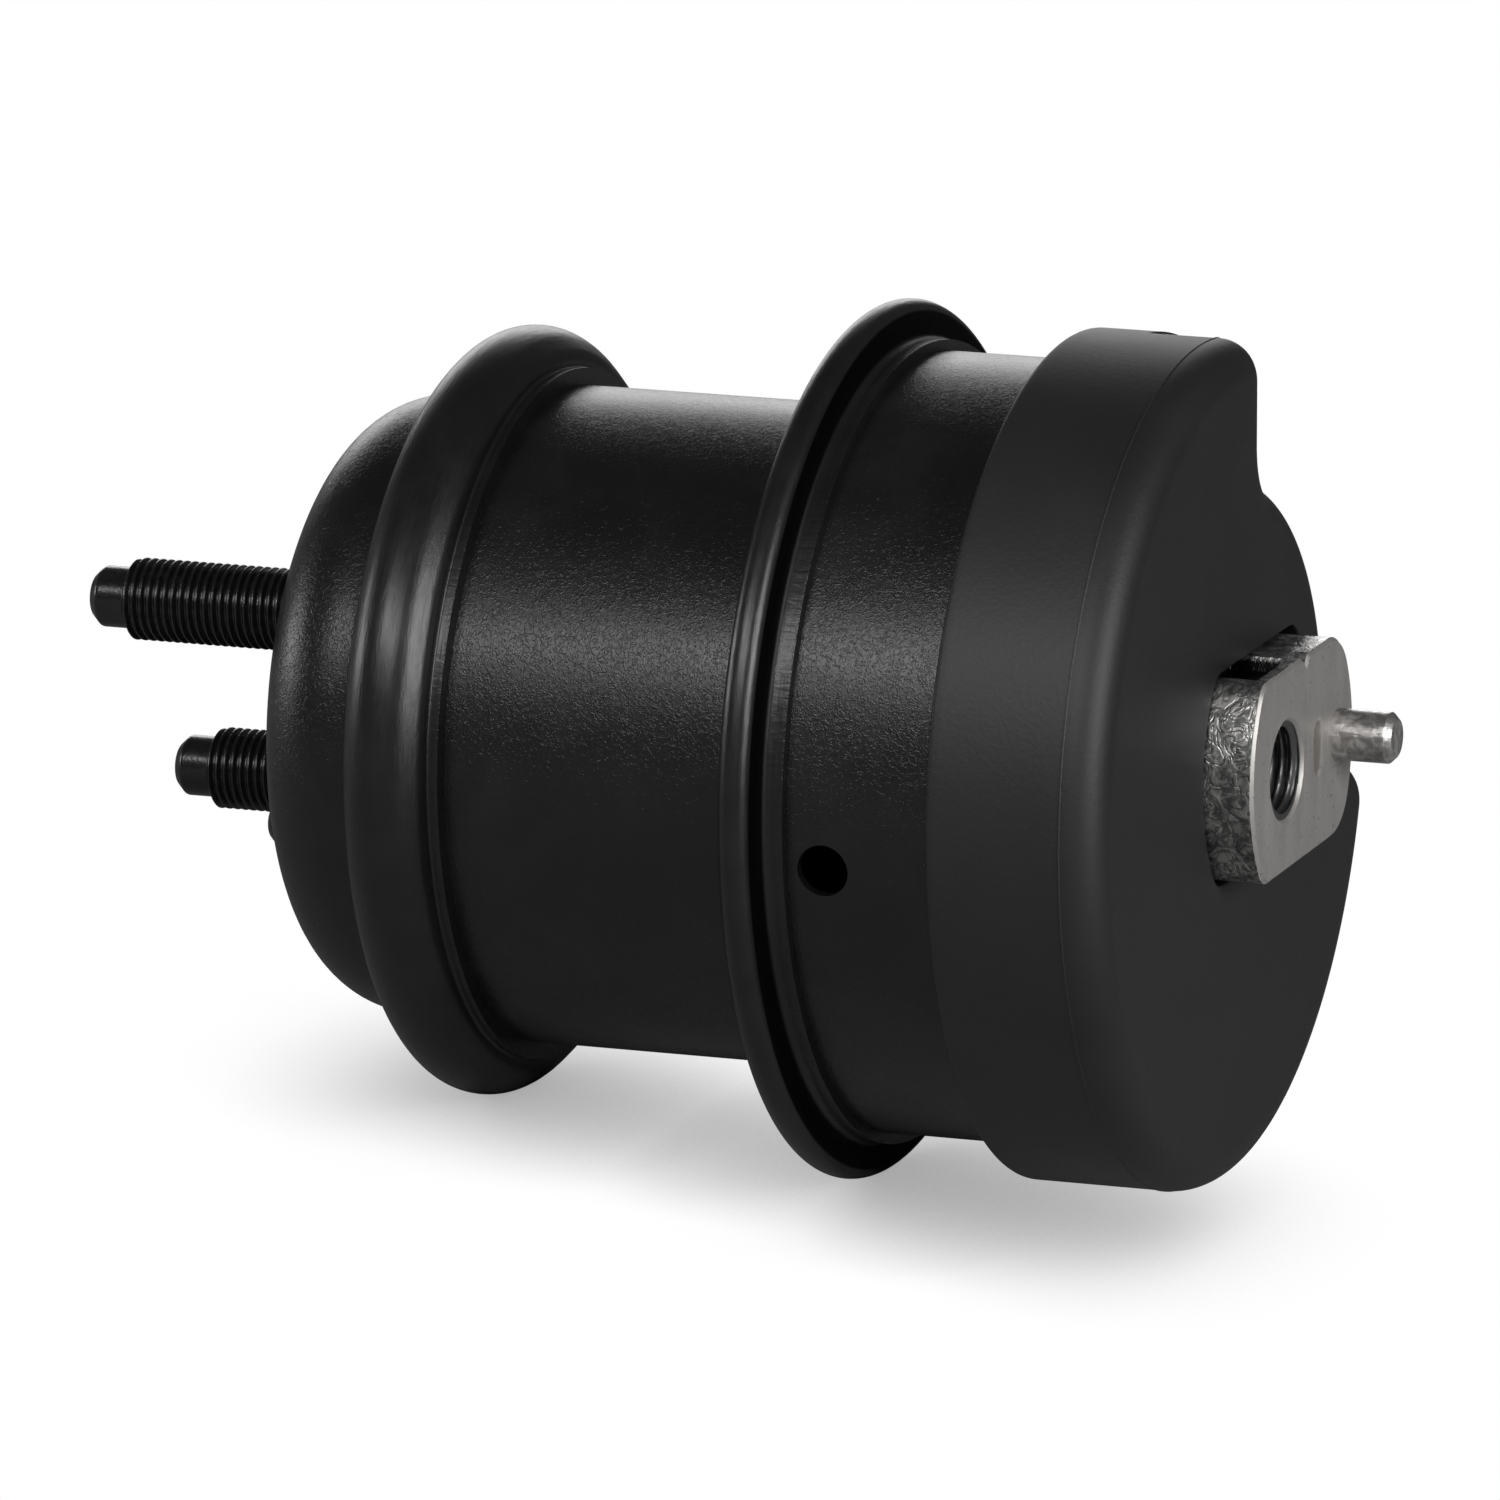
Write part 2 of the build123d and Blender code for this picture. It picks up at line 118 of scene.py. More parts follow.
def bent_sheet(path: list[Pair], radii: list[float], wall: float, step: float) -> np.ndarray:
    """Closed section of a bent sheet: its visible face, then its hidden face back again.

    The hidden face's corners lie wall / cos(turn / 2) from the visible ones, to the right of the
    path, and its radii are wider on a left turn and tighter on a right turn by the wall.

    Args:
        path: corners of the visible face.
        radii: bend radii of the visible face.
        wall: thickness of the sheet.
        step: longest distance between neighbouring points.

    Returns:
        Rows of (x, radius) all the way round, the first point not repeated.
    """
    corners = np.array(path, float)
    ways = np.diff(corners, axis=0)
    ways /= np.linalg.norm(ways, axis=1, keepdims=True)
    right = np.column_stack([ways[:, 1], -ways[:, 0]])
    turns = np.arctan2(
        ways[:-1, 0] * ways[1:, 1] - ways[:-1, 1] * ways[1:, 0], np.sum(ways[:-1] * ways[1:], axis=1)
    )
    middle = right[:-1] + right[1:]
    middle /= np.linalg.norm(middle, axis=1, keepdims=True)
    inner = corners[1:-1] + middle * (wall / np.cos(turns / 2))[:, None]
    hidden = np.vstack([corners[0] + right[0] * wall, inner, corners[-1] + right[-1] * wall])
    hidden_radii = [radius + math.copysign(wall, turn) for radius, turn in zip(radii, turns)]
    front = rounded_path(path, radii, step)
    back = rounded_path([tuple(p) for p in hidden], hidden_radii, step)
    return np.vstack([front, back[::-1]])


def turned(profile: np.ndarray, steps: int, centre: Pair = (0.0, 0.0)) -> np.ndarray:
    """Grid of a profile turned about an axis along X.

    A point (x, r) at angle a goes to (x, centre y + r cos a, centre z + r sin a).

    Args:
        profile: rows of (x, radius).
        steps: points round the axis.
        centre: the axis's place, as (y, z).

    Returns:
        Array of shape (rows, steps, 3).
    """
    angles = np.linspace(0, TURN, steps, endpoint=False)
    x = np.repeat(profile[:, :1], steps, axis=1)
    y = centre[0] + profile[:, 1:] * np.cos(angles)
    z = centre[1] + profile[:, 1:] * np.sin(angles)
    return np.stack([x, y, z], axis=2)


def soft_noise(u: np.ndarray, v: np.ndarray, cells: int, seed: int) -> np.ndarray:
    """Smooth noise between -1 and 1, which repeats in u after one unit.

    Random numbers on a lattice are blended with the weight w * w * (3 - 2 w) in both ways.

    Args:
        u: first coordinate, where one unit is the whole way round.
        v: second coordinate, in lattice cells.
        cells: lattice cells in one unit of u.
        seed: starts the row of random numbers.

    Returns:
        Noise of the shape of u and v.
    """
    rows = 64
    lattice = np.random.default_rng(seed).uniform(-1, 1, (cells, rows))
    left, below = np.floor(u * cells).astype(int), np.floor(v).astype(int)
    share_u, share_v = soft_step(u * cells - left, 0, 1), soft_step(v - below, 0, 1)
    right, above = (left + 1) % cells, (below + 1) % rows
    left, below = left % cells, below % rows
    near = lattice[left, below] * (1 - share_u) + lattice[right, below] * share_u
    far = lattice[left, above] * (1 - share_u) + lattice[right, above] * share_u
    return near * (1 - share_v) + far * share_v


def soft_step(value: np.ndarray, start: float, end: float) -> np.ndarray:
    """Rises smoothly from 0 at start to 1 at end, as w * w * (3 - 2 w)."""
    share = np.clip((value - start) / (end - start), 0, 1)
    return share * share * (3 - 2 * share)


def soft_window(value: np.ndarray, start: float, end: float, edge: float) -> np.ndarray:
    """1 between start and end and 0 outside, with soft edges of the given width."""
    return soft_step(value, start - edge, start) * (1 - soft_step(value, end, end + edge))


@dataclass
class Skin:
    """One piece's mesh, gathered from grids of points."""

    name: str
    grids: list[np.ndarray] = field(default_factory=list)
    faces: list[np.ndarray] = field(default_factory=list)
    count: int = 0

    def add(self, grid: np.ndarray, closed: bool = False) -> None:
        """Adds a grid that goes round in its second index.

        Args:
            grid: array of shape (rows, steps, 3).
            closed: whether the last row joins the first.
        """
        rows, steps = grid.shape[:2]
        index = np.arange(rows * steps).reshape(rows, steps) + self.count
        if closed:
            index = np.vstack([index, index[:1]])
        near, far = index[:-1], index[1:]
        quads = np.stack([near, np.roll(near, -1, 1), np.roll(far, -1, 1), far], axis=2)
        self.faces.append(quads.reshape(-1, 4))
        self.grids.append(grid.reshape(-1, 3))
        self.count += rows * steps

    def build(self, sharp_degrees: float = SHARP_DEGREES) -> bpy.types.Object:
        """Makes the mesh object: merges doubled points, turns faces outwards and shades it.

        Args:
            sharp_degrees: edges that turn by more than this stay crisp.

        Returns:
            The new object, linked into the scene, at the origin.
        """
        mesh = bpy.data.meshes.new(self.name)
        points, quads = np.vstack(self.grids), np.vstack(self.faces)
        mesh.from_pydata(points.tolist(), [], quads.tolist())
        shape = bmesh.new()
        shape.from_mesh(mesh)
        bmesh.ops.remove_doubles(shape, verts=shape.verts, dist=1e-7)
        bmesh.ops.dissolve_degenerate(shape, edges=shape.edges, dist=1e-8)
        bmesh.ops.recalc_face_normals(shape, faces=shape.faces)
        if shape.calc_volume(signed=True) < 0:
            bmesh.ops.reverse_faces(shape, faces=shape.faces)
        shape.to_mesh(mesh)
        shape.free()
        mesh.shade_smooth()
        mesh.set_sharp_from_angle(angle=math.radians(sharp_degrees))
        piece = bpy.data.objects.new(self.name, mesh)
        bpy.context.scene.collection.objects.link(piece)
        return piece


def dress(piece: bpy.types.Object, node: str, finish: "Finish") -> None:
    """Gives a piece its finish and puts it in the place of a node.

    Args:
        piece: the new mesh.
        node: the node that it stands for.
        finish: what its surface is made of.
    """
    piece.data.materials.clear()
    piece.data.materials.append(finish.material())
    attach(piece, BODY)
    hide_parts(node)
    log.info("%s: %d faces", piece.name, len(piece.data.polygons))


@dataclass(frozen=True)
class Signal:
    """A value in a material, on which Python's operators work."""

    recipe: "Recipe"
    socket: bpy.types.NodeSocket

    def math(self, operation: str, *others: Any) -> "Signal":
        """A Math node on this value and the others, which are signals or numbers."""
        inputs = dict(enumerate((self, *others)))
        return self.recipe.node("ShaderNodeMath", {"operation": operation}, inputs)

    def __add__(self, other: Any) -> "Signal":
        """Sum."""
        return self.math("ADD", other)

    __radd__ = __add__

    def __sub__(self, other: Any) -> "Signal":
        """Difference."""
        return self.math("SUBTRACT", other)

    def __rsub__(self, other: Any) -> "Signal":
        """Difference from a number."""
        return (self * -1.0).math("ADD", other)

    def __mul__(self, other: Any) -> "Signal":
        """Product."""
        return self.math("MULTIPLY", other)

    __rmul__ = __mul__

    def __pow__(self, other: Any) -> "Signal":
        """Power."""
        return self.math("POWER", other)

    def __abs__(self) -> "Signal":
        """Size without sign."""
        return self.math("ABSOLUTE")

    def rise(self, start: float, end: float) -> "Signal":
        """Rises smoothly from 0 where this value is start to 1 where it is end."""
        inputs = {"Value": self, "From Min": start, "From Max": end, "To Min": 0.0, "To Max": 1.0}
        return self.recipe.node("ShaderNodeMapRange", {"interpolation_type": "SMOOTHSTEP"}, inputs)


class Recipe:
    """Node tree of one material, written as expressions."""

    def __init__(self, name: str) -> None:
        """Starts an empty tree.

        Args:
            name: name of the material.
        """
        self.material = bpy.data.materials.new(name)
        self.material.use_nodes = True
        self.tree = self.material.node_tree
        self.tree.nodes.clear()

    def node(self, kind: str, settings: dict[str, Any], inputs: dict[Any, Any], output: Any = 0) -> Signal:
        """Adds a node.

        Args:
            kind: the node's type.
            settings: its own settings, set first.
            inputs: socket name or index to a signal, or to a plain value.
            output: name or index of the socket to return.

        Returns:
            The signal at that output.
        """
        made = self.tree.nodes.new(kind)
        for key, value in settings.items():
            setattr(made, key, value)
        for key, value in inputs.items():
            if isinstance(value, Signal):
                self.tree.links.new(value.socket, made.inputs[key])
            else:
                made.inputs[key].default_value = value
        return Signal(self, made.outputs[output])

    def place(self) -> Signal:
        """The surface point in the piece's own coordinates."""
        return self.node("ShaderNodeTexCoord", {}, {}, "Object")

    def axes(self) -> tuple[Signal, Signal, Signal]:
        """X, Y and Z of the surface point."""
        split = self.node("ShaderNodeSeparateXYZ", {}, {0: self.place()})
        outputs = split.socket.node.outputs
        return tuple(Signal(self, outputs[index]) for index in range(3))

    def stretched(self, scale: Triple) -> Signal:
        """The surface point with each axis scaled."""
        return self.node("ShaderNodeMapping", {}, {"Vector": self.place(), "Scale": scale})

    def noise(
        self, scale: float, detail: float = 2.0, distortion: float = 0.0, point: Signal | None = None
    ) -> Signal:
        """Cloudy noise about one half.

        Args:
            scale: lumps in a metre.
            detail: finer layers.
            distortion: how far it swirls.
            point: where to read it, if not at the surface point.

        Returns:
            The noise.
        """
        inputs = {
            "Vector": point or self.place(),
            "Scale": scale,
            "Detail": detail,
            "Roughness": 0.5,
            "Distortion": distortion,
        }
        return self.node("ShaderNodeTexNoise", {}, inputs)

    def cells(self, scale: float, point: Signal | None = None) -> Signal:
        """Distance to the nearest of scattered points, which makes pits or grains."""
        inputs = {"Vector": point or self.place(), "Scale": scale}
        return self.node("ShaderNodeTexVoronoi", {}, inputs)

    def blend(self, low: Colour | Signal, high: Colour | Signal, share: Signal) -> Signal:
        """Colour between low and high."""
        return self.node("ShaderNodeMix", {"data_type": "RGBA"}, {0: share, 6: low, 7: high}, 2)

    def bump(self, height: Signal, distance: float, below: Signal | None = None) -> Signal:
        """Normal of a surface that is raised by height times distance, on top of another."""
        inputs = {"Height": height, "Distance": distance, "Strength": 1.0}
        if below is not None:
            inputs["Normal"] = below
        return self.node("ShaderNodeBump", {}, inputs)

    def finish(self, inputs: dict[str, Any]) -> bpy.types.Material:
        """Ends the tree in one Principled surface.

        Args:
            inputs: its sockets.

        Returns:
            The material.
        """
        surface = self.node("ShaderNodeBsdfPrincipled", {}, inputs)
        return self.end(surface)

    def end(self, surface: Signal) -> bpy.types.Material:
        """Joins a surface to the material's output."""
        out = self.tree.nodes.new("ShaderNodeOutputMaterial")
        self.tree.links.new(surface.socket, out.inputs["Surface"])
        return self.material


def grey(level: float, warmth: float = 0.0) -> Colour:
    """Grey colour, with red raised and blue lowered by the warmth's share."""
    return (level * (1 + warmth), level, level * (1 - warmth), 1.0)


@dataclass(frozen=True)
class Finish:
    """What a surface is made of."""

    name: str

    def material(self) -> bpy.types.Material:
        """The finish's material, made once."""
        return bpy.data.materials.get(self.name) or self.mixed()

    def mixed(self) -> bpy.types.Material:
        """Builds the material."""
        raise NotImplementedError


@dataclass(frozen=True)
class ShellPaint(Finish):
    """Satin black coating with a fine wormy grain, smoother on the rolled beads.

    Args:
        beads: (start, end) of each smooth bead along X.
        collars: (start, end) of each finely ribbed collar.
        crease: (start, end, radius) of the crease in front of the hem, below a radius, where painted shade
            gives a near-black metallic colour and more roughness.
    """

    beads: tuple[Pair, ...]
    collars: tuple[Pair, ...]
    crease: Triple
    colour: float = 0.005
    grain_per_metre: float = 1400.0
    grain_height: float = 0.034 * MM
    rib_height: float = 0.05 * MM
    streaks_per_metre: float = 900.0
    streak_height: float = 0.045 * MM
    bead_edge: float = 0.6 * MM

    def along(self, x: Signal, stretches: tuple[Pair, ...]) -> Signal:
        """1 on the given stretches of X and 0 elsewhere, with soft edges.

        Args:
            x: the surface point's X.
            stretches: (start, end) of each.

        Returns:
            The mask.
        """
        windows = [
            x.rise(start, start + self.bead_edge) * (1 - x.rise(end - self.bead_edge, end))
            for start, end in stretches
        ]
        return sum(windows[1:], windows[0])

    def mixed(self) -> bpy.types.Material:
        """Builds the material."""
        recipe = Recipe(self.name)
        x, y, z = recipe.axes()
        on_bead = self.along(x, self.beads)
        on_collar = self.along(x, self.collars)
        start, end, top = self.crease
        reach = (y * y + z * z) ** 0.5
        # painted shade: the crease in front of the hem is masked here to be coloured near black, metallic
        # and rougher
        crease_painted_shade = self.along(x, ((start, end),)) * (1 - reach.rise(top - 0.5 * MM, top))
        worms = abs(recipe.noise(self.grain_per_metre, 1.5, 1.2) - 0.5) * 2
        worms = worms.rise(0.02, 0.42)
        lumps = recipe.noise(self.grain_per_metre * 0.32, 2.0, 0.4)
        grain = worms * 0.65 + lumps * 0.6
        streaks = recipe.noise(self.streaks_per_metre, 3.0, 0.3, recipe.stretched((2.4, 0.35, 0.35)))
        scuffs = recipe.noise(90.0, 4.0, 0.8)
        body_bump = recipe.bump(grain * (1 - on_bead), self.grain_height)
        bead_bump = recipe.bump(streaks * on_bead, self.streak_height, body_bump)
        ribs = recipe.noise(620.0, 1.0, 0.6, recipe.stretched((0.5, 2.0, 2.0)))
        normal = recipe.bump(ribs * on_collar, self.rib_height, bead_bump)
        rough_body = 0.29 + scuffs * 0.08
        rough_bead = 0.27 + streaks * 0.14
        roughness = rough_body * (1 - on_bead) + rough_bead * on_bead + crease_painted_shade * 0.4
        colour = recipe.blend(grey(self.colour), grey(self.colour * 1.7), scuffs.rise(0.35, 0.75))
        # painted shade in the crease: near-black colour
        colour = recipe.blend(colour, grey(0.004), crease_painted_shade)
        return recipe.finish({
            "Base Color": colour,
            "Roughness": roughness,
            "Metallic": crease_painted_shade,
            "Specular IOR Level": 0.5,
            "Normal": normal,
        })


@dataclass(frozen=True)
class StudCoat(Finish):
    """Glossy black coating on threaded steel."""

    colour: float = 0.006

    def mixed(self) -> bpy.types.Material:
        """Builds the material."""
        recipe = Recipe(self.name)
        patches = recipe.noise(700.0, 3.0, 0.4)
        normal = recipe.bump(recipe.noise(2600.0, 2.0), 0.03 * MM)
        roughness = 0.16 + patches * 0.16
        colour = recipe.blend(grey(self.colour), grey(self.colour * 2.2), patches.rise(0.4, 0.8))
        return recipe.finish(
            {"Base Color": colour, "Roughness": roughness, "Specular IOR Level": 0.6, "Normal": normal}
        )


@dataclass(frozen=True)
class MouldedRubber(Finish):
    """Matt black rubber with a fine grain and a bloom that varies softly."""

    colour: float = 0.0105
    grain_height: float = 0.04 * MM

    def mixed(self) -> bpy.types.Material:
        """Builds the material."""
        recipe = Recipe(self.name)
        bloom = recipe.noise(38.0, 4.0, 0.5)
        grain = recipe.noise(1700.0, 3.0) * 0.7 + recipe.cells(950.0) * 0.3
        specks = recipe.noise(2600.0, 1.0).rise(0.66, 0.76)
        normal = recipe.bump(grain, self.grain_height)
        colour = recipe.blend(grey(self.colour), grey(self.colour * 1.35), bloom.rise(0.3, 0.75))
        colour = recipe.blend(colour, grey(self.colour * 2.6), specks * 0.35)
        roughness = 0.46 + bloom * 0.12
        return recipe.finish(
            {"Base Color": colour, "Roughness": roughness, "Specular IOR Level": 0.5, "Normal": normal}
        )


@dataclass(frozen=True)
class ForgedSteel(Finish):
    """Bare steel: a smooth grey-brown face, a hammered bright flank, and painted shade in the hole and the
    pocket.

    Args:
        face_x: where the machined face lies.
        hole_radius: reach of the hole, which is painted dark as shade.
        pad_centre: (y, z) of the stained obround pad.
        pad_half: half its straight length.
        pad_radius: half its width.
        pin_centre: (y, z) of the pin.
        ring_radius: radius of the ring pressed round the pin.
        pocket: ends in X, Y and Z of the pocket in the upper flat, which is painted dark as shade.
    """

    face_x: float
    hole_radius: float
    pad_centre: Pair
    pad_half: float
    pad_radius: float
    pin_centre: Pair
    ring_radius: float
    pocket: Triple
    face_level: float = 0.44
    flank_level: float = 0.7
    hole_shade_level: float = 0.16

    def mixed(self) -> bpy.types.Material:
        """Builds the material."""
        recipe = Recipe(self.name)
        x, y, z = recipe.axes()
        on_face = x.rise(self.face_x - 0.5 * MM, self.face_x - 0.42 * MM)
        reach = (y * y + z * z) ** 0.5
        hole_shade_mask = (1 - reach.rise(self.hole_radius - 0.3 * MM, self.hole_radius)) * x.rise(0.1, 0.12)
        beyond = (abs(z - self.pad_centre[1]) - self.pad_half).math("MAXIMUM", 0.0)
        pad_reach = ((y - self.pad_centre[0]) ** 2 + beyond**2) ** 0.5
        on_pad = (1 - pad_reach.rise(self.pad_radius - 0.3 * MM, self.pad_radius + 0.1 * MM)) * on_face
        pin_reach = ((y - self.pin_centre[0]) ** 2 + (z - self.pin_centre[1]) ** 2) ** 0.5
        ring = 1 - abs(pin_reach - self.ring_radius).rise(0.05 * MM, 0.3 * MM)
        flow = recipe.noise(230.0, 3.0, 2.4)
        ridges = abs(recipe.noise(330.0, 2.0, 2.2) - 0.5).rise(0.0, 0.12)
        specks = 1 - recipe.noise(1500.0, 2.0).rise(0.27, 0.36)
        smears = recipe.noise(150.0, 4.0, 1.0, recipe.stretched((1.0, 1.6, 0.5)))
        fine = recipe.noise(3200.0, 3.0)
        face_low, face_high = grey(self.face_level * 0.8, 0.045), grey(self.face_level * 1.2, 0.035)
        face_colour = recipe.blend(face_low, face_high, smears)
        face_colour = recipe.blend(face_colour, grey(self.face_level * 0.5, 0.12), on_pad * 0.75)
        face_colour = recipe.blend(face_colour, grey(0.06), specks * 0.55)
        flank_low, flank_high = grey(self.flank_level * 0.55, 0.02), grey(self.flank_level * 1.35, 0.02)
        flank_colour = recipe.blend(flank_low, flank_high, flow.rise(0.3, 0.7))
        flank_colour = recipe.blend(grey(0.16), flank_colour, ridges * 0.7 + 0.3)
        colour = recipe.blend(flank_colour, face_colour, on_face)
        # painted shade: the hole is coloured dark as the shade inside it
        colour = recipe.blend(colour, grey(self.hole_shade_level), hole_shade_mask)
        x_end, y_end, z_end = self.pocket
        # painted shade: the pocket in the upper flat is coloured near black
        pocket_shade_mask = (1 - x.rise(x_end - 0.3 * MM, x_end)) * (1 - abs(y).rise(y_end - 0.3 * MM, y_end))
        pocket_shade_mask = pocket_shade_mask * z.rise(z_end - 2.4 * MM, z_end - 2.2 * MM)
        pocket_shade_mask = pocket_shade_mask * (1 - z.rise(z_end - 0.9 * MM, z_end))
        colour = recipe.blend(colour, grey(0.015), pocket_shade_mask)
        hammered = recipe.bump((flow * 0.5 + ridges * 0.35) * (1 - hole_shade_mask), 0.09 * MM)
        flank_normal = recipe.bump(fine * (1 - on_face), 0.01 * MM, hammered)
        face_normal = recipe.bump(smears * 0.4 + fine * 0.12 - ring * 0.9, 0.1 * MM)
        normal = recipe.node(
            "ShaderNodeMix", {"data_type": "VECTOR"}, {0: on_face, 4: flank_normal, 5: face_normal}, 1
        )
        roughness = (0.26 + flow * 0.16) * (1 - on_face) + (0.4 + smears * 0.18) * on_face
        metallic = 0.95 - on_face * 0.3
        return recipe.finish(
            {"Base Color": colour, "Roughness": roughness, "Metallic": metallic, "Normal": normal}
        )


@dataclass(frozen=True)
class WornSteel(Finish):
    """Bare drawn steel with smeared wear."""

    level: float = 0.6
    rough: float = 0.24

    def mixed(self) -> bpy.types.Material:
        """Builds the material."""
        recipe = Recipe(self.name)
        smears = recipe.noise(420.0, 4.0, 1.6)
        scratches = recipe.noise(900.0, 3.0, 0.6, recipe.stretched((0.5, 2.0, 2.0)))
        normal = recipe.bump(smears * 0.6 + scratches * 0.4, 0.16 * MM)
        low, high = grey(self.level * 0.55, 0.03), grey(self.level * 1.25, 0.02)
        colour = recipe.blend(low, high, smears.rise(0.3, 0.7))
        roughness = self.rough + scratches * 0.2
        return recipe.finish(
            {"Base Color": colour, "Roughness": roughness, "Metallic": 0.95, "Normal": normal}
        )


@dataclass(frozen=True)
class Thread:
    """Helical thread round X.

    The wall's radius is moved by height times h, where h rises from 0 at the root to 1 at the
    crest and back over each pitch, and the pitch's place is x / pitch - angle / turn.
    """

    pitch: float
    height: float
    start: float
    end: float

    def lift(self, x: np.ndarray, angle: np.ndarray) -> np.ndarray:
        """How far the wall stands from its root.

        Args:
            x: stations.
            angle: angles about the axis.

        Returns:
            Change of radius at each point.
        """
        phase = (x / self.pitch - angle / TURN) % 1.0
        slope = 1 - np.abs(2 * phase - 1)
        tooth = np.clip((slope - 0.12) / 0.72, 0, 1)
        tooth = tooth * tooth * (3 - 2 * tooth) * 0.35 + tooth * 0.65
        window = soft_window(x, self.start + self.pitch, self.end - self.pitch, self.pitch)
        return self.height * tooth * window


@dataclass(frozen=True)
class Outline:
    """Closed plane curve in the YZ plane, as complex numbers y + iz going clockwise."""

    points: np.ndarray
    normals: np.ndarray

    def inset(self, depth: float | np.ndarray) -> np.ndarray:
        """The curve moved inwards by depth."""
        return self.points - self.normals * depth

    def reach(self, angles: np.ndarray) -> np.ndarray:
        """The curve's radius about the origin at the given angles."""
        own = np.angle(self.points)
        order = np.argsort(own)
        return np.interp(angles, own[order], np.abs(self.points)[order], period=TURN)


def arc(
    centre: complex, radius: float, start: float, end: float, spacing: float, side: float = 1.0
) -> np.ndarray:
    """Rows of (point, normal) along an arc, in degrees from start up to, and without, end.

    Args:
        centre: centre of the arc.
        radius: its radius.
        start: first angle.
        end: angle that it leads to.
        spacing: longest distance between points.
        side: 1 where the outline bulges out, -1 where it is hollow.

    Returns:
        Two rows of complex numbers, the points and the normals.
    """
    count = max(6, math.ceil(abs(end - start) * math.pi / 180 * radius / spacing))
    spokes = np.exp(1j * np.radians(np.linspace(start, end, count + 1)[:-1]))
    return np.array([centre + radius * spokes, side * spokes])


def line(start: complex, end: complex, spacing: float) -> np.ndarray:
    """Rows of (point, normal) along a straight side of a clockwise outline, without its end."""
    count = max(2, math.ceil(abs(end - start) / spacing))
    points = start + (end - start) * np.linspace(0, 1, count + 1)[:-1]
    normal = (end - start) / abs(end - start) * 1j
    return np.array([points, np.full(count, normal)])


@dataclass
class RingStack:
    """Rings of points at stations along X, gathered into one grid."""

    rings: list[np.ndarray] = field(default_factory=list)

    def add(self, x: float | np.ndarray, ring: np.ndarray) -> None:
        """Adds one ring of complex numbers y + iz at a station, or at one station for each point."""
        self.rings.append(np.column_stack([np.broadcast_to(x, ring.shape), ring.real, ring.imag]))

    def grid(self) -> np.ndarray:
        """All rings as an array of shape (rings, points, 3)."""
        return np.stack(self.rings)


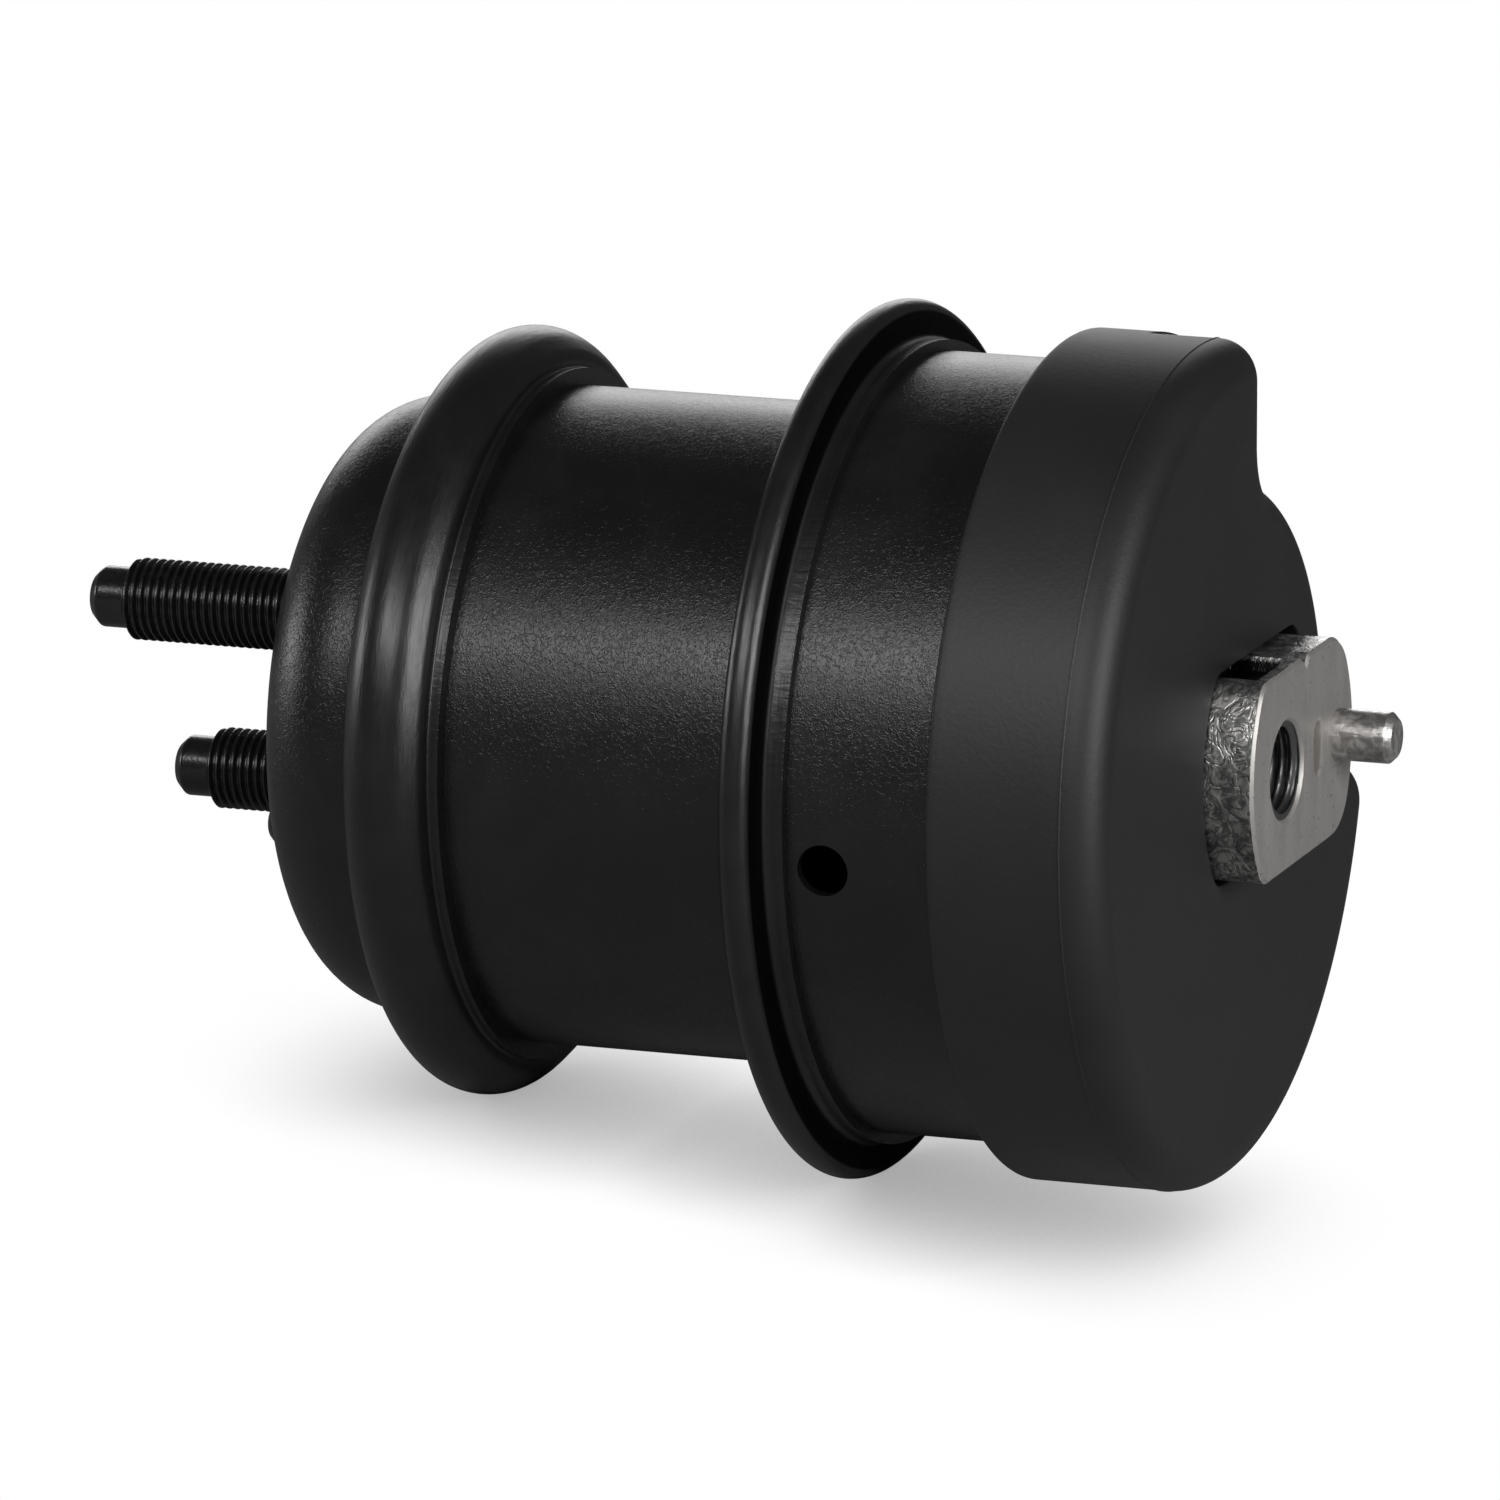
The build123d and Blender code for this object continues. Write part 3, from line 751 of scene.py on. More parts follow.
@dataclass
class Shells:
    """The three drawn shells: lower cup, middle shell and upper shell."""

    steps: int = 288
    spacing: float = 1.1 * MM
    cup_wall: float = 2.5 * MM
    wall: float = 1.6 * MM
    tube_radius: float = 47.6 * MM
    cup_step: float = 2.6 * MM
    cup_corner: float = 13 * MM
    bead_start: float = 18.4 * MM
    bead_end: float = 30.9 * MM
    bead_height: float = 8.2 * MM
    shoulder_width: float = 3.6 * MM
    shoulder_drop: float = 3.8 * MM
    bead_round: float = 6 * MM
    back_bend: float = 2.5 * MM
    front_round: float = 3 * MM
    groove_round: float = 0.5 * MM
    bead_collar: float = 1.6 * MM
    clamp_flange: float = 3.2 * MM
    clamp_bend: float = 2 * MM
    tube_length: float = 50.8 * MM
    upper_step: float = 8.6 * MM
    hem_height: float = 7.1 * MM
    hem_bend: float = 2 * MM
    hem_collar: float = 3.5 * MM
    hem_play: float = 0.9 * MM
    upper_length: float = 34.6 * MM
    upper_corner: float = 4 * MM
    upper_mouth: float = 31 * MM
    vent_inset: float = 10.4 * MM
    vent_radius: float = 3.75 * MM
    vent_angle: float = 7.0

    @property
    def hem_start(self) -> float:
        """Station where the hemmed bead begins."""
        return self.bead_end - self.cup_wall + self.tube_length

    @property
    def hem_end(self) -> float:
        """Station where the hemmed bead ends, three sheets further on."""
        return self.hem_start + 3 * self.wall

    def paint(self) -> ShellPaint:
        """The shells' paint, with its smooth beads, ribbed collars and painted shade in the crease."""
        clamp_end, collar_end = self.bead_end + self.bead_collar, self.hem_end + self.hem_collar
        crown = self.tube_radius + self.upper_step + self.hem_height
        before, lap = 1 * MM, 0.6 * MM
        return ShellPaint(
            name="satin_shell_paint",
            beads=((self.bead_start - before, clamp_end), (self.hem_start - before, collar_end)),
            collars=(
                (self.bead_end - 0.3 * MM, clamp_end + lap),
                (self.hem_end + 1 * MM, collar_end + lap),
            ),
            crease=(self.hem_end - 1.2 * MM, self.hem_end + 1.1 * MM, crown - 1.3 * MM),
        )

    def lower_cup(self) -> bpy.types.Object:
        """Cup whose rim is rolled into the wide bead."""
        crown = self.tube_radius + self.bead_height
        collar = self.tube_radius + self.cup_wall
        path = [
            (0.0, 0.0),
            (0.0, self.tube_radius - self.cup_step),
            (self.bead_start, self.tube_radius - self.cup_step),
            (self.bead_start, crown - self.shoulder_drop),
            (self.bead_start + self.shoulder_width, crown),
            (self.bead_end - self.shoulder_width, crown),
            (self.bead_end, crown - self.shoulder_drop),
            (self.bead_end, collar),
            (self.bead_end + self.bead_collar, collar),
        ]
        radii = [
            self.cup_corner,
            self.back_bend,
            self.bead_round,
            self.bead_round,
            self.bead_round,
            self.front_round,
            self.groove_round,
        ]
        skin = Skin("lower_cup_skin")
        skin.add(turned(bent_sheet(path, radii, self.cup_wall, self.spacing), self.steps))
        return skin.build()

    def middle_shell(self) -> bpy.types.Object:
        """Tube with a clamped flange below and the hem above."""
        clamp_x = self.bead_end - self.cup_wall
        hem_crown = self.tube_radius + self.upper_step + self.hem_height
        collar = self.tube_radius + self.upper_step + self.wall
        path = [
            (clamp_x, self.tube_radius + self.clamp_flange),
            (clamp_x, self.tube_radius),
            (self.hem_start, self.tube_radius),
            (self.hem_start, hem_crown),
            (self.hem_end, hem_crown),
            (self.hem_end, collar),
            (self.hem_end + self.hem_collar, collar),
        ]
        hem_round = 1.49 * self.wall
        radii = [self.clamp_bend, self.hem_bend, hem_round, hem_round, self.hem_bend]
        skin = Skin("middle_shell_skin")
        skin.add(turned(bent_sheet(path, radii, self.wall, self.spacing), self.steps), closed=True)
        return skin.build()

    def upper_shell(self) -> bpy.types.Object:
        """Cover with its vent cut through the wall on the near side."""
        radius = self.tube_radius + self.upper_step
        front = self.hem_end - self.wall
        path = [
            (front, radius + self.hem_height - self.wall - self.hem_play),
            (front, radius),
            (front + self.upper_length, radius),
            (front + self.upper_length, self.upper_mouth),
        ]
        skin = Skin("upper_shell_skin")
        section = bent_sheet(path, [self.hem_bend + self.wall, self.upper_corner], self.wall, self.spacing)
        skin.add(turned(section, self.steps), closed=True)
        shell = skin.build()
        self.cut_vent(shell, front + self.vent_inset, radius)
        return shell

    def cut_vent(self, shell: bpy.types.Object, x: float, radius: float) -> None:
        """Cuts the round vent through the upper shell.

        Args:
            shell: the upper shell.
            x: the vent's station.
            radius: the shell's outer radius.
        """
        bpy.ops.mesh.primitive_cylinder_add(vertices=96, radius=self.vent_radius, depth=12 * MM)
        drill = bpy.context.object
        turn = math.radians(self.vent_angle)
        drill.location = (x, -radius * math.cos(turn), -radius * math.sin(turn))
        drill.rotation_euler = (math.radians(90) + turn, 0, 0)
        cut = shell.modifiers.new("vent", "BOOLEAN")
        cut.object = drill
        cut.operation = "DIFFERENCE"
        cut.solver = "EXACT"
        bpy.context.view_layer.update()
        bpy.context.view_layer.objects.active = shell
        with bpy.context.temp_override(object=shell, active_object=shell, selected_objects=[shell]):
            bpy.ops.object.modifier_apply(modifier=cut.name)
        bpy.data.objects.remove(drill)
        shell.data.shade_smooth()
        shell.data.set_sharp_from_angle(angle=math.radians(SHARP_DEGREES))

    def build(self) -> None:
        """Makes and dresses the three shells."""
        paint = self.paint()
        dress(self.lower_cup(), "lower_cup", paint)
        dress(self.middle_shell(), "middle_shell", paint)
        dress(self.upper_shell(), "upper_shell", paint)


@dataclass
class FrameStuds:
    """The two threaded studs and the dowel that stand out of the cup's base."""

    coat: Finish
    steps: int = 96
    circle_radius: float = 22.2 * MM
    stud_angle: float = 135.0
    stud_radius: float = 6 * MM
    knurl_radius: float = 6.4 * MM
    stud_length: float = 34 * MM
    head_x: float = 6.5 * MM
    head_end: float = 9.5 * MM
    head_radius: float = 9 * MM
    dog_radius: float = 4.45 * MM
    dog_length: float = 5.5 * MM
    dog_chamfer: float = 1.4 * MM
    pitch: float = 1.25 * MM
    thread_height: float = 0.74 * MM
    thread_gap: float = 0.6 * MM
    dowel_radius: float = 3.5 * MM
    dowel_shank: float = 3 * MM
    dowel_length: float = 6.7 * MM
    dowel_chamfer: float = 1.2 * MM

    def centre(self, degrees: float) -> Pair:
        """Place on the stud circle, as (y, z)."""
        turn = math.radians(degrees)
        return self.circle_radius * math.cos(turn), self.circle_radius * math.sin(turn)

    def stud(self, name: str, degrees: float) -> bpy.types.Object:
        """Stud with a helical thread between its dog point and the base.

        Args:
            name: name of the piece.
            degrees: its place on the stud circle.

        Returns:
            The stud.
        """
        tip = -self.stud_length
        root = self.stud_radius - self.thread_height
        dog_end = tip + self.dog_length
        nose = rounded_path(
            [(tip, 0.0), (tip, self.dog_radius - self.dog_chamfer),
             (tip + self.dog_chamfer, self.dog_radius), (dog_end, self.dog_radius),
             (dog_end + 0.7 * MM, root)],
            [0.5 * MM, 0.8 * MM, 0.2 * MM], 0.3 * MM,
        )
        thread = Thread(self.pitch, self.thread_height, dog_end, -self.thread_gap)
        shank_x = np.arange(nose[-1, 0] + 0.05 * MM, -self.thread_gap, self.pitch / 13)
        shank = np.column_stack([shank_x, np.full(shank_x.shape, root)])
        tail = np.array(
            [(-0.2 * MM, root), (0.0, root), (0.0, self.knurl_radius), (self.head_x, self.knurl_radius),
             (self.head_x, self.head_radius), (self.head_end, self.head_radius), (self.head_end, 0.0)]
        )
        grid = turned(np.vstack([nose, shank, tail]), self.steps)
        angle = np.arctan2(grid[..., 2], grid[..., 1])
        radius = np.hypot(grid[..., 1], grid[..., 2])
        on_shank = (grid[..., 0] > dog_end + 0.6 * MM) & (grid[..., 0] < -self.thread_gap)
        lifted = radius + np.where(on_shank, thread.lift(grid[..., 0], angle), 0.0)
        scale = lifted / np.maximum(radius, 1e-9)
        y, z = self.centre(degrees)
        grid[..., 1] = grid[..., 1] * scale + y
        grid[..., 2] = grid[..., 2] * scale + z
        skin = Skin(name)
        skin.add(grid)
        return skin.build(50.0)

    def dowel(self) -> bpy.types.Object:
        """Plain dowel with a chamfered tip."""
        tip = -self.dowel_length
        profile = rounded_path(
            [(tip, 0.0), (tip, self.dowel_radius - self.dowel_chamfer),
             (tip + self.dowel_chamfer, self.dowel_radius), (0.0, self.dowel_radius),
             (0.0, self.dowel_shank), (self.head_x, self.dowel_shank), (self.head_x, 0.0)],
            [0.6 * MM, 0.8 * MM, 0.01 * MM, 0.01 * MM, 0.01 * MM], 0.4 * MM,
        )
        skin = Skin("base_dowel_skin")
        skin.add(turned(profile, self.steps, self.centre(self.stud_angle + 90)))
        return skin.build()

    def build(self) -> None:
        """Makes and dresses the studs and the dowel."""
        upper = self.stud("upper_stud_skin", self.stud_angle)
        lower = self.stud("lower_stud_skin", self.stud_angle + 180)
        dress(upper, "frame_stud_upper", self.coat)
        dress(lower, "frame_stud_lower", self.coat)
        dress(self.dowel(), "base_dowel", self.coat)


@dataclass
class Boss:
    """Forged core with its flatted boss, tapped hole and pin."""

    pin_steel: Finish
    face_x: float = 142.5 * MM
    depth: float = 12 * MM
    radius: float = 22.4 * MM
    offset: float = 7.3 * MM
    half_flats: float = 14.7 * MM
    corner: float = 4 * MM
    worn_corner: float = 8.5 * MM
    edge: float = 0.5 * MM
    tilt: float = 2.0
    hole_radius: float = 6.2 * MM
    mouth_radius: float = 7.6 * MM
    mouth_depth: float = 0.5 * MM
    hole_depth: float = 18 * MM
    hole_tip: float = 3.2 * MM
    thread_pitch: float = 1.5 * MM
    thread_depth: float = 0.8 * MM
    neck_radius: float = 14 * MM
    neck_x: float = 96 * MM
    cone_x: float = 90 * MM
    cone_radius: float = 25 * MM
    tip_x: float = 58 * MM
    tip_radius: float = 12 * MM
    pin_radius: float = 3.75 * MM
    pin_shank: float = 3.5 * MM
    pin_length: float = 9 * MM
    pin_seat: float = 9 * MM
    pin_offset: float = 22.7 * MM
    pin_chamfer: float = 1 * MM
    pad_offset: float = 14 * MM
    pad_width: float = 3.4 * MM
    pad_length: float = 8 * MM
    pad_depth: float = 0.4 * MM
    pocket_front: float = 2.6 * MM
    pocket_length: float = 7.9 * MM
    pocket_start: float = -6 * MM
    pocket_width: float = 12 * MM
    pocket_depth: float = 2 * MM
    nick_offset: float = 9 * MM
    nick_width: float = 3.1 * MM
    hammer_depth: float = 0.08 * MM

    def steel(self) -> ForgedSteel:
        """Forged steel with painted shade in the hole and the pocket, a stained pad, and a ring pressed
        round the pin.
        """
        axis = complex(math.cos(math.radians(self.tilt)), math.sin(math.radians(self.tilt)))
        pad, pin = self.pad_offset * axis, self.pin_offset * axis
        return ForgedSteel(
            name="forged_steel_bare",
            face_x=self.face_x,
            hole_radius=7.3 * MM,
            pad_centre=(pad.real, pad.imag),
            pad_half=(self.pad_length - self.pad_width) / 2,
            pad_radius=self.pad_width / 2,
            pin_centre=(pin.real, pin.imag),
            ring_radius=4.5 * MM,
            pocket=(self.face_x - self.pocket_front, 6.4 * MM, 14.9 * MM),
        )

    def half_end(self, corner: float, spacing: float) -> tuple[float, np.ndarray]:
        """Right-hand end of the boss: upper corner, round side and lower corner.

        A corner's centre lies on both the circle and the flat, each moved inwards by its radius.

        Args:
            corner: radius of the two corners.
            spacing: longest distance between points.

        Returns:
            How far out the flats reach, and the end's points and normals.
        """
        rise = self.half_flats - corner
        run = math.sqrt((self.radius - corner) ** 2 - rise**2)
        turn = math.degrees(math.atan2(rise, run))
        upper = arc(complex(run, rise), corner, 90, turn, spacing)
        side = arc(0j, self.radius, turn, -turn, spacing)
        lower = arc(complex(run, -rise), corner, -turn, -90, spacing)
        return run, np.hstack([upper, side, lower])

    def outline(self, spacing: float, pin_corner: float, grow: float = 0.0) -> Outline:
        """Circle with two flats and eased corners, tilted a little.

        Args:
            spacing: longest distance between points.
            pin_corner: radius of the two corners on the pin's side.
            grow: moves the whole outline outwards.

        Returns:
            The outline.
        """
        far_run, far_end = self.half_end(self.corner, spacing)
        pin_run, pin_end = self.half_end(pin_corner, spacing)
        top = line(complex(-far_run, self.half_flats), complex(pin_run, self.half_flats), spacing)
        low = line(complex(pin_run, -self.half_flats), complex(-far_run, -self.half_flats), spacing)
        points, normals = np.hstack([top, pin_end, low, -far_end])
        turn = complex(math.cos(math.radians(self.tilt)), math.sin(math.radians(self.tilt)))
        points = (points + self.offset + normals * grow) * turn
        return Outline(points, normals * turn)

    def level(self, ring: np.ndarray) -> np.ndarray:
        """Points turned back by the boss's tilt, so that its flats lie level."""
        return ring * np.exp(-1j * math.radians(self.tilt))

    def flank_depth(self, x: float, ring: np.ndarray) -> np.ndarray:
        """How far the flank lies inside its outline: the pocket, the nick and the hammering.

        Args:
            x: station.
            ring: points of the outline.

        Returns:
            Depth at each point.
        """
        own = self.level(ring)
        on_top = soft_step(own.imag, self.half_flats - 3 * MM, self.half_flats - 1 * MM)
        front, side = self.face_x - self.pocket_front, self.pocket_start + self.pocket_width
        along = soft_window(np.array(x), front - self.pocket_length, front, 0.5 * MM)
        across = soft_window(own.real, self.pocket_start, side, 0.5 * MM)
        pocket = self.pocket_depth * on_top * along * across
        edge_share = soft_step(np.array(x), front, self.face_x - 2.5 * MM)
        groove = np.clip(1 - np.abs(own.real - self.nick_offset) / (self.nick_width / 2), 0, 1)
        nick = self.nick_width / 2 * groove * on_top * edge_share
        share = np.angle(own - self.offset) / TURN + 0.5
        station = (self.face_x - x) / MM
        hammering = soft_noise(share, np.full(share.shape, station * 0.55), 46, 5)
        hammering = hammering + 0.5 * soft_noise(share, np.full(share.shape, station * 1.2 + 9.0), 104, 8)
        fade = soft_step(np.array((self.face_x - x) / MM), 0.3, 2.2)
        return pocket + nick + self.hammer_depth * fade * (0.7 + 0.6 * hammering)

    def face_drop(self, ring: np.ndarray) -> np.ndarray:
        """How far the face lies behind its plane: the shallow pad."""
        own = self.level(ring)
        half_run = (self.pad_length - self.pad_width) / 2
        beyond = np.maximum(np.abs(own.imag) - half_run, 0)
        away = np.hypot(own.real - self.pad_offset, beyond) - self.pad_width / 2
        return self.pad_depth * (1 - soft_step(away, -0.3 * MM, 0.25 * MM))

    def core(self) -> bpy.types.Object:
        """The whole core as one surface, from the hole's bottom over the face to the cone's tip."""
        outline = self.outline(0.45 * MM, self.worn_corner)
        spokes = np.exp(1j * np.angle(outline.points))
        rings = RingStack()
        bottom = self.face_x - self.hole_depth
        mouth_x = self.face_x - self.mouth_depth
        thread = Thread(self.thread_pitch, self.thread_depth, bottom, self.face_x + self.thread_pitch)
        rings.add(bottom - self.hole_tip, spokes * 0)
        for x in np.arange(bottom, mouth_x, self.thread_pitch / 11):
            lift = thread.lift(np.full(spokes.shape, x), np.angle(spokes))
            rings.add(x, spokes * (self.hole_radius + lift))
        for share in np.linspace(0, 1, 5):
            width = self.mouth_radius - self.mouth_depth * (1 - share)
            rings.add(mouth_x + (self.face_x - mouth_x) * share, spokes * width)
        edge_ring = outline.inset(self.edge + self.flank_depth(self.face_x, outline.points))
        mouth_ring = spokes * self.mouth_radius
        for share in np.linspace(0, 1, 46)[1:]:
            ring = mouth_ring + (edge_ring - mouth_ring) * share
            rings.add(self.face_x - self.face_drop(ring) * (share < 1), ring)
        for share in np.linspace(0, 1, 5)[1:]:
            x = self.face_x - self.edge * math.sin(share * math.pi / 2)
            inset = self.edge * (1 - math.sin(share * math.pi / 2) * 0.5 - share * 0.5)
            rings.add(x, outline.inset(inset + self.flank_depth(x, outline.points)))
        for x in np.arange(self.face_x - self.edge - 0.3 * MM, self.face_x - self.depth, -0.32 * MM):
            rings.add(x, outline.inset(self.flank_depth(x, outline.points)))
        back = self.face_x - self.depth
        rings.add(back, outline.inset(self.hammer_depth))
        rings.add(back, spokes * self.neck_radius)
        rings.add(self.neck_x, spokes * self.neck_radius)
        rings.add(self.cone_x, spokes * self.cone_radius)
        rings.add(self.tip_x, spokes * self.tip_radius)
        rings.add(self.tip_x, spokes * 0)
        skin = Skin("engine_boss")
        skin.add(rings.grid())
        return skin.build(38.0)

    def pin(self) -> bpy.types.Object:
        """Chamfered pin; the ring pressed up round its foot is a bump in the core's steel."""
        end = self.face_x + self.pin_length
        seat = self.face_x - self.pin_seat
        profile = rounded_path(
            [(seat, 0.0), (seat, self.pin_shank), (self.face_x, self.pin_shank),
             (self.face_x, self.pin_radius), (end - self.pin_chamfer, self.pin_radius),
             (end, self.pin_radius - self.pin_chamfer), (end, 0.0)],
            [0.01 * MM, 0.01 * MM, 0.01 * MM, 0.35 * MM, 0.3 * MM], 0.4 * MM,
        )
        turn = math.radians(self.tilt)
        centre = (self.pin_offset * math.cos(turn), self.pin_offset * math.sin(turn))
        skin = Skin("boss_pin")
        skin.add(turned(profile, 112, centre))
        return skin.build()

    def build(self) -> None:
        """Makes and dresses the core and the pin."""
        dress(self.core(), "inner_core", self.steel())
        dress(self.pin(), "locating_pin", self.pin_steel)


@dataclass
class RubberCap:
    """Moulded cap with a deep notch in its front and an opening for the boss."""

    rubber: Finish
    boss: Boss
    spacing: float = 0.8 * MM
    radius: float = 61 * MM
    start: float = 109.7 * MM
    shell_end: float = 117 * MM
    shell_radius: float = 56.2 * MM
    notch_x: float = 119.5 * MM
    face_x: float = 135.5 * MM
    edge_round: float = 5.5 * MM
    back_round: float = 0.8 * MM
    cavity_radius: float = 35 * MM
    cavity_end: float = 128.5 * MM
    hole_gap: float = 0.8 * MM
    hole_edge: float = 0.4 * MM
    notch_depth: float = 20 * MM
    flank: float = 11 * MM
    notch_middle: float = 56.0
    neck_round: float = 8 * MM
    lobe_round: float = 6.5 * MM
    seam_height: float = 0.12 * MM
    seam_width: float = 0.35 * MM

    def outline(self) -> Outline:
        """Outline of the cap's front: full circle, lobe corner, flank, neck, and the same mirrored.

        A corner arc's centre lies where the circle and the flank, each moved by the arc's radius,
        cross. The second half is the first mirrored in the notch's middle line.
        """
        notch = self.radius - self.notch_depth
        middle = 90 - self.notch_middle
        lobe = complex(self.flank - self.lobe_round, 0)
        lobe += 1j * math.sqrt((self.radius - self.lobe_round) ** 2 - lobe.real**2)
        neck = complex(self.flank + self.neck_round, 0)
        neck += 1j * math.sqrt((notch + self.neck_round) ** 2 - neck.real**2)
        lobe_turn = math.degrees(np.angle(lobe))
        neck_turn = math.degrees(np.angle(neck))
        half = np.hstack([
            arc(0j, self.radius, middle + 180, lobe_turn, self.spacing),
            arc(lobe, self.lobe_round, lobe_turn, 0, self.spacing * 0.6),
            line(complex(self.flank, lobe.imag), complex(self.flank, neck.imag), self.spacing),
            arc(neck, self.neck_round, 180, 180 + neck_turn, self.spacing * 0.5, -1.0),
            arc(0j, notch, neck_turn, middle, self.spacing),
        ])
        axis = np.exp(2j * math.radians(middle))
        mirrored = np.hstack([np.array([[notch + 0j], [1 + 0j]]) * np.exp(1j * math.radians(middle)),
                              (axis * half.conj())[:, :0:-1]])
        points, normals = np.hstack([half, mirrored])
        return Outline(points, normals)

    def build(self) -> None:
        """Makes and dresses the cap as rings from its back, over the rim, through the opening."""
        outline = self.outline()
        spokes = np.exp(1j * np.angle(outline.points))
        rings = RingStack()
        for share in np.linspace(0, 1, 8)[:-1]:
            width = self.shell_radius + (self.radius - self.back_round - self.shell_radius) * share
            rings.add(self.start, spokes * width)
        for turn in np.linspace(0, math.pi / 2, 6):
            x = self.start + self.back_round * (1 - math.cos(turn))
            rings.add(x, spokes * (self.radius - self.back_round * (1 - math.sin(turn))))
        for x in np.arange(self.start + self.back_round + 1 * MM, self.notch_x - 0.4 * MM, 1 * MM):
            rings.add(x, spokes * self.radius)
        rings.add(self.notch_x, spokes * self.radius)
        rings.add(self.notch_x, outline.points)
        seam_x = self.face_x - self.edge_round
        for x in np.arange(self.notch_x + 0.8 * MM, seam_x - 2.5 * self.seam_width, 0.8 * MM):
            rings.add(x, outline.points)
        for share in (-2.0, -1.0, -0.4, 0.4, 1.0):
            lift = self.seam_height if abs(share) < 0.9 else 0.0
            rings.add(seam_x - self.seam_width + share * self.seam_width / 2, outline.inset(-lift))
        for turn in np.linspace(0, math.pi / 2, 18):
            inset = self.edge_round * (1 - math.cos(turn))
            rings.add(seam_x + self.edge_round * math.sin(turn), outline.inset(inset))
        rim = outline.inset(self.edge_round)
        opening = self.boss.outline(0.3 * MM, self.boss.corner, self.hole_gap)
        rim_spokes = np.exp(1j * np.angle(rim))
        hole = rim_spokes * opening.reach(np.angle(rim))
        for share in np.linspace(0, 1, 22)[1:-1]:
            rings.add(self.face_x, rim + (hole * (1 + self.hole_edge / np.abs(hole)) - rim) * share)
        for turn in np.linspace(0, math.pi / 2, 5):
            widen = self.hole_edge * (1 - math.sin(turn))
            x = self.face_x - self.hole_edge * (1 - math.cos(turn))
            rings.add(x, hole * (1 + widen / np.abs(hole)))
        for x in np.linspace(self.face_x - self.hole_edge, self.cavity_end, 6)[1:]:
            rings.add(x, hole)
        rings.add(self.cavity_end, rim_spokes * self.cavity_radius)
        rings.add(self.shell_end, spokes * self.cavity_radius)
        rings.add(self.shell_end, spokes * self.shell_radius)
        skin = Skin("rubber_cap_skin")
        skin.add(rings.grid(), closed=True)
        dress(skin.build(), "rubber_cap", self.rubber)


@dataclass
class InnerPieces:
    """Pieces inside the shells, which keep their solids and get a finish."""

    steel: Finish
    alloy: Finish
    rubber: Finish

    def build(self) -> None:
        """Paints each inner node by its slot."""
        finishes = {"inner_steel": self.steel, "track_alloy": self.alloy, "inner_rubber": self.rubber}
        for part in frame["record"]["subparts"]:
            finish = finishes.get(part["material_slot"])
            if finish is None:
                continue
            node = frame["nodes"][part["node"]]
            node.data.materials.clear()
            node.data.materials.append(finish.material())
            log.info("%s: painted", part["node"])


def facing_back(azimuth: float, elevation: float) -> tuple[np.ndarray, Triple]:
    """Where a camera or lamp stands, seen from the mount, and how it is turned to face it.

    Args:
        azimuth: degrees about Z from the side of -Y.
        elevation: degrees above the horizon.

    Returns:
        The unit direction away from the mount, and the rotation about X, Y and Z.
    """
    turn, rise = math.radians(azimuth), math.radians(elevation)
    level = math.cos(rise)
    away = np.array([math.sin(turn) * level, -math.cos(turn) * level, math.sin(rise)])
    return away, (math.radians(90) - rise, 0, turn)


@dataclass(frozen=True)
class Lamp:
    """Soft rectangular lamp that faces the mount.

    Args:
        name: its name.
        azimuth: side it stands on, in the camera's sense.
        elevation: height above the mount, in degrees.
        distance: metres from the mount.
        size: width and height in metres.
        watts: its power.
    """

    name: str
    azimuth: float
    elevation: float
    distance: float
    size: Pair
    watts: float

    def light(self, target: Triple) -> None:
        """Puts the lamp into the scene, facing the target."""
        away, rotation = facing_back(self.azimuth, self.elevation)
        data = bpy.data.lights.new(self.name, "AREA")
        data.shape = "RECTANGLE"
        data.size, data.size_y = self.size
        data.energy = self.watts
        light = bpy.data.objects.new(self.name, data)
        light.location = tuple(np.array(target) + self.distance * away)
        light.rotation_euler = rotation
        bpy.context.scene.collection.objects.link(light)


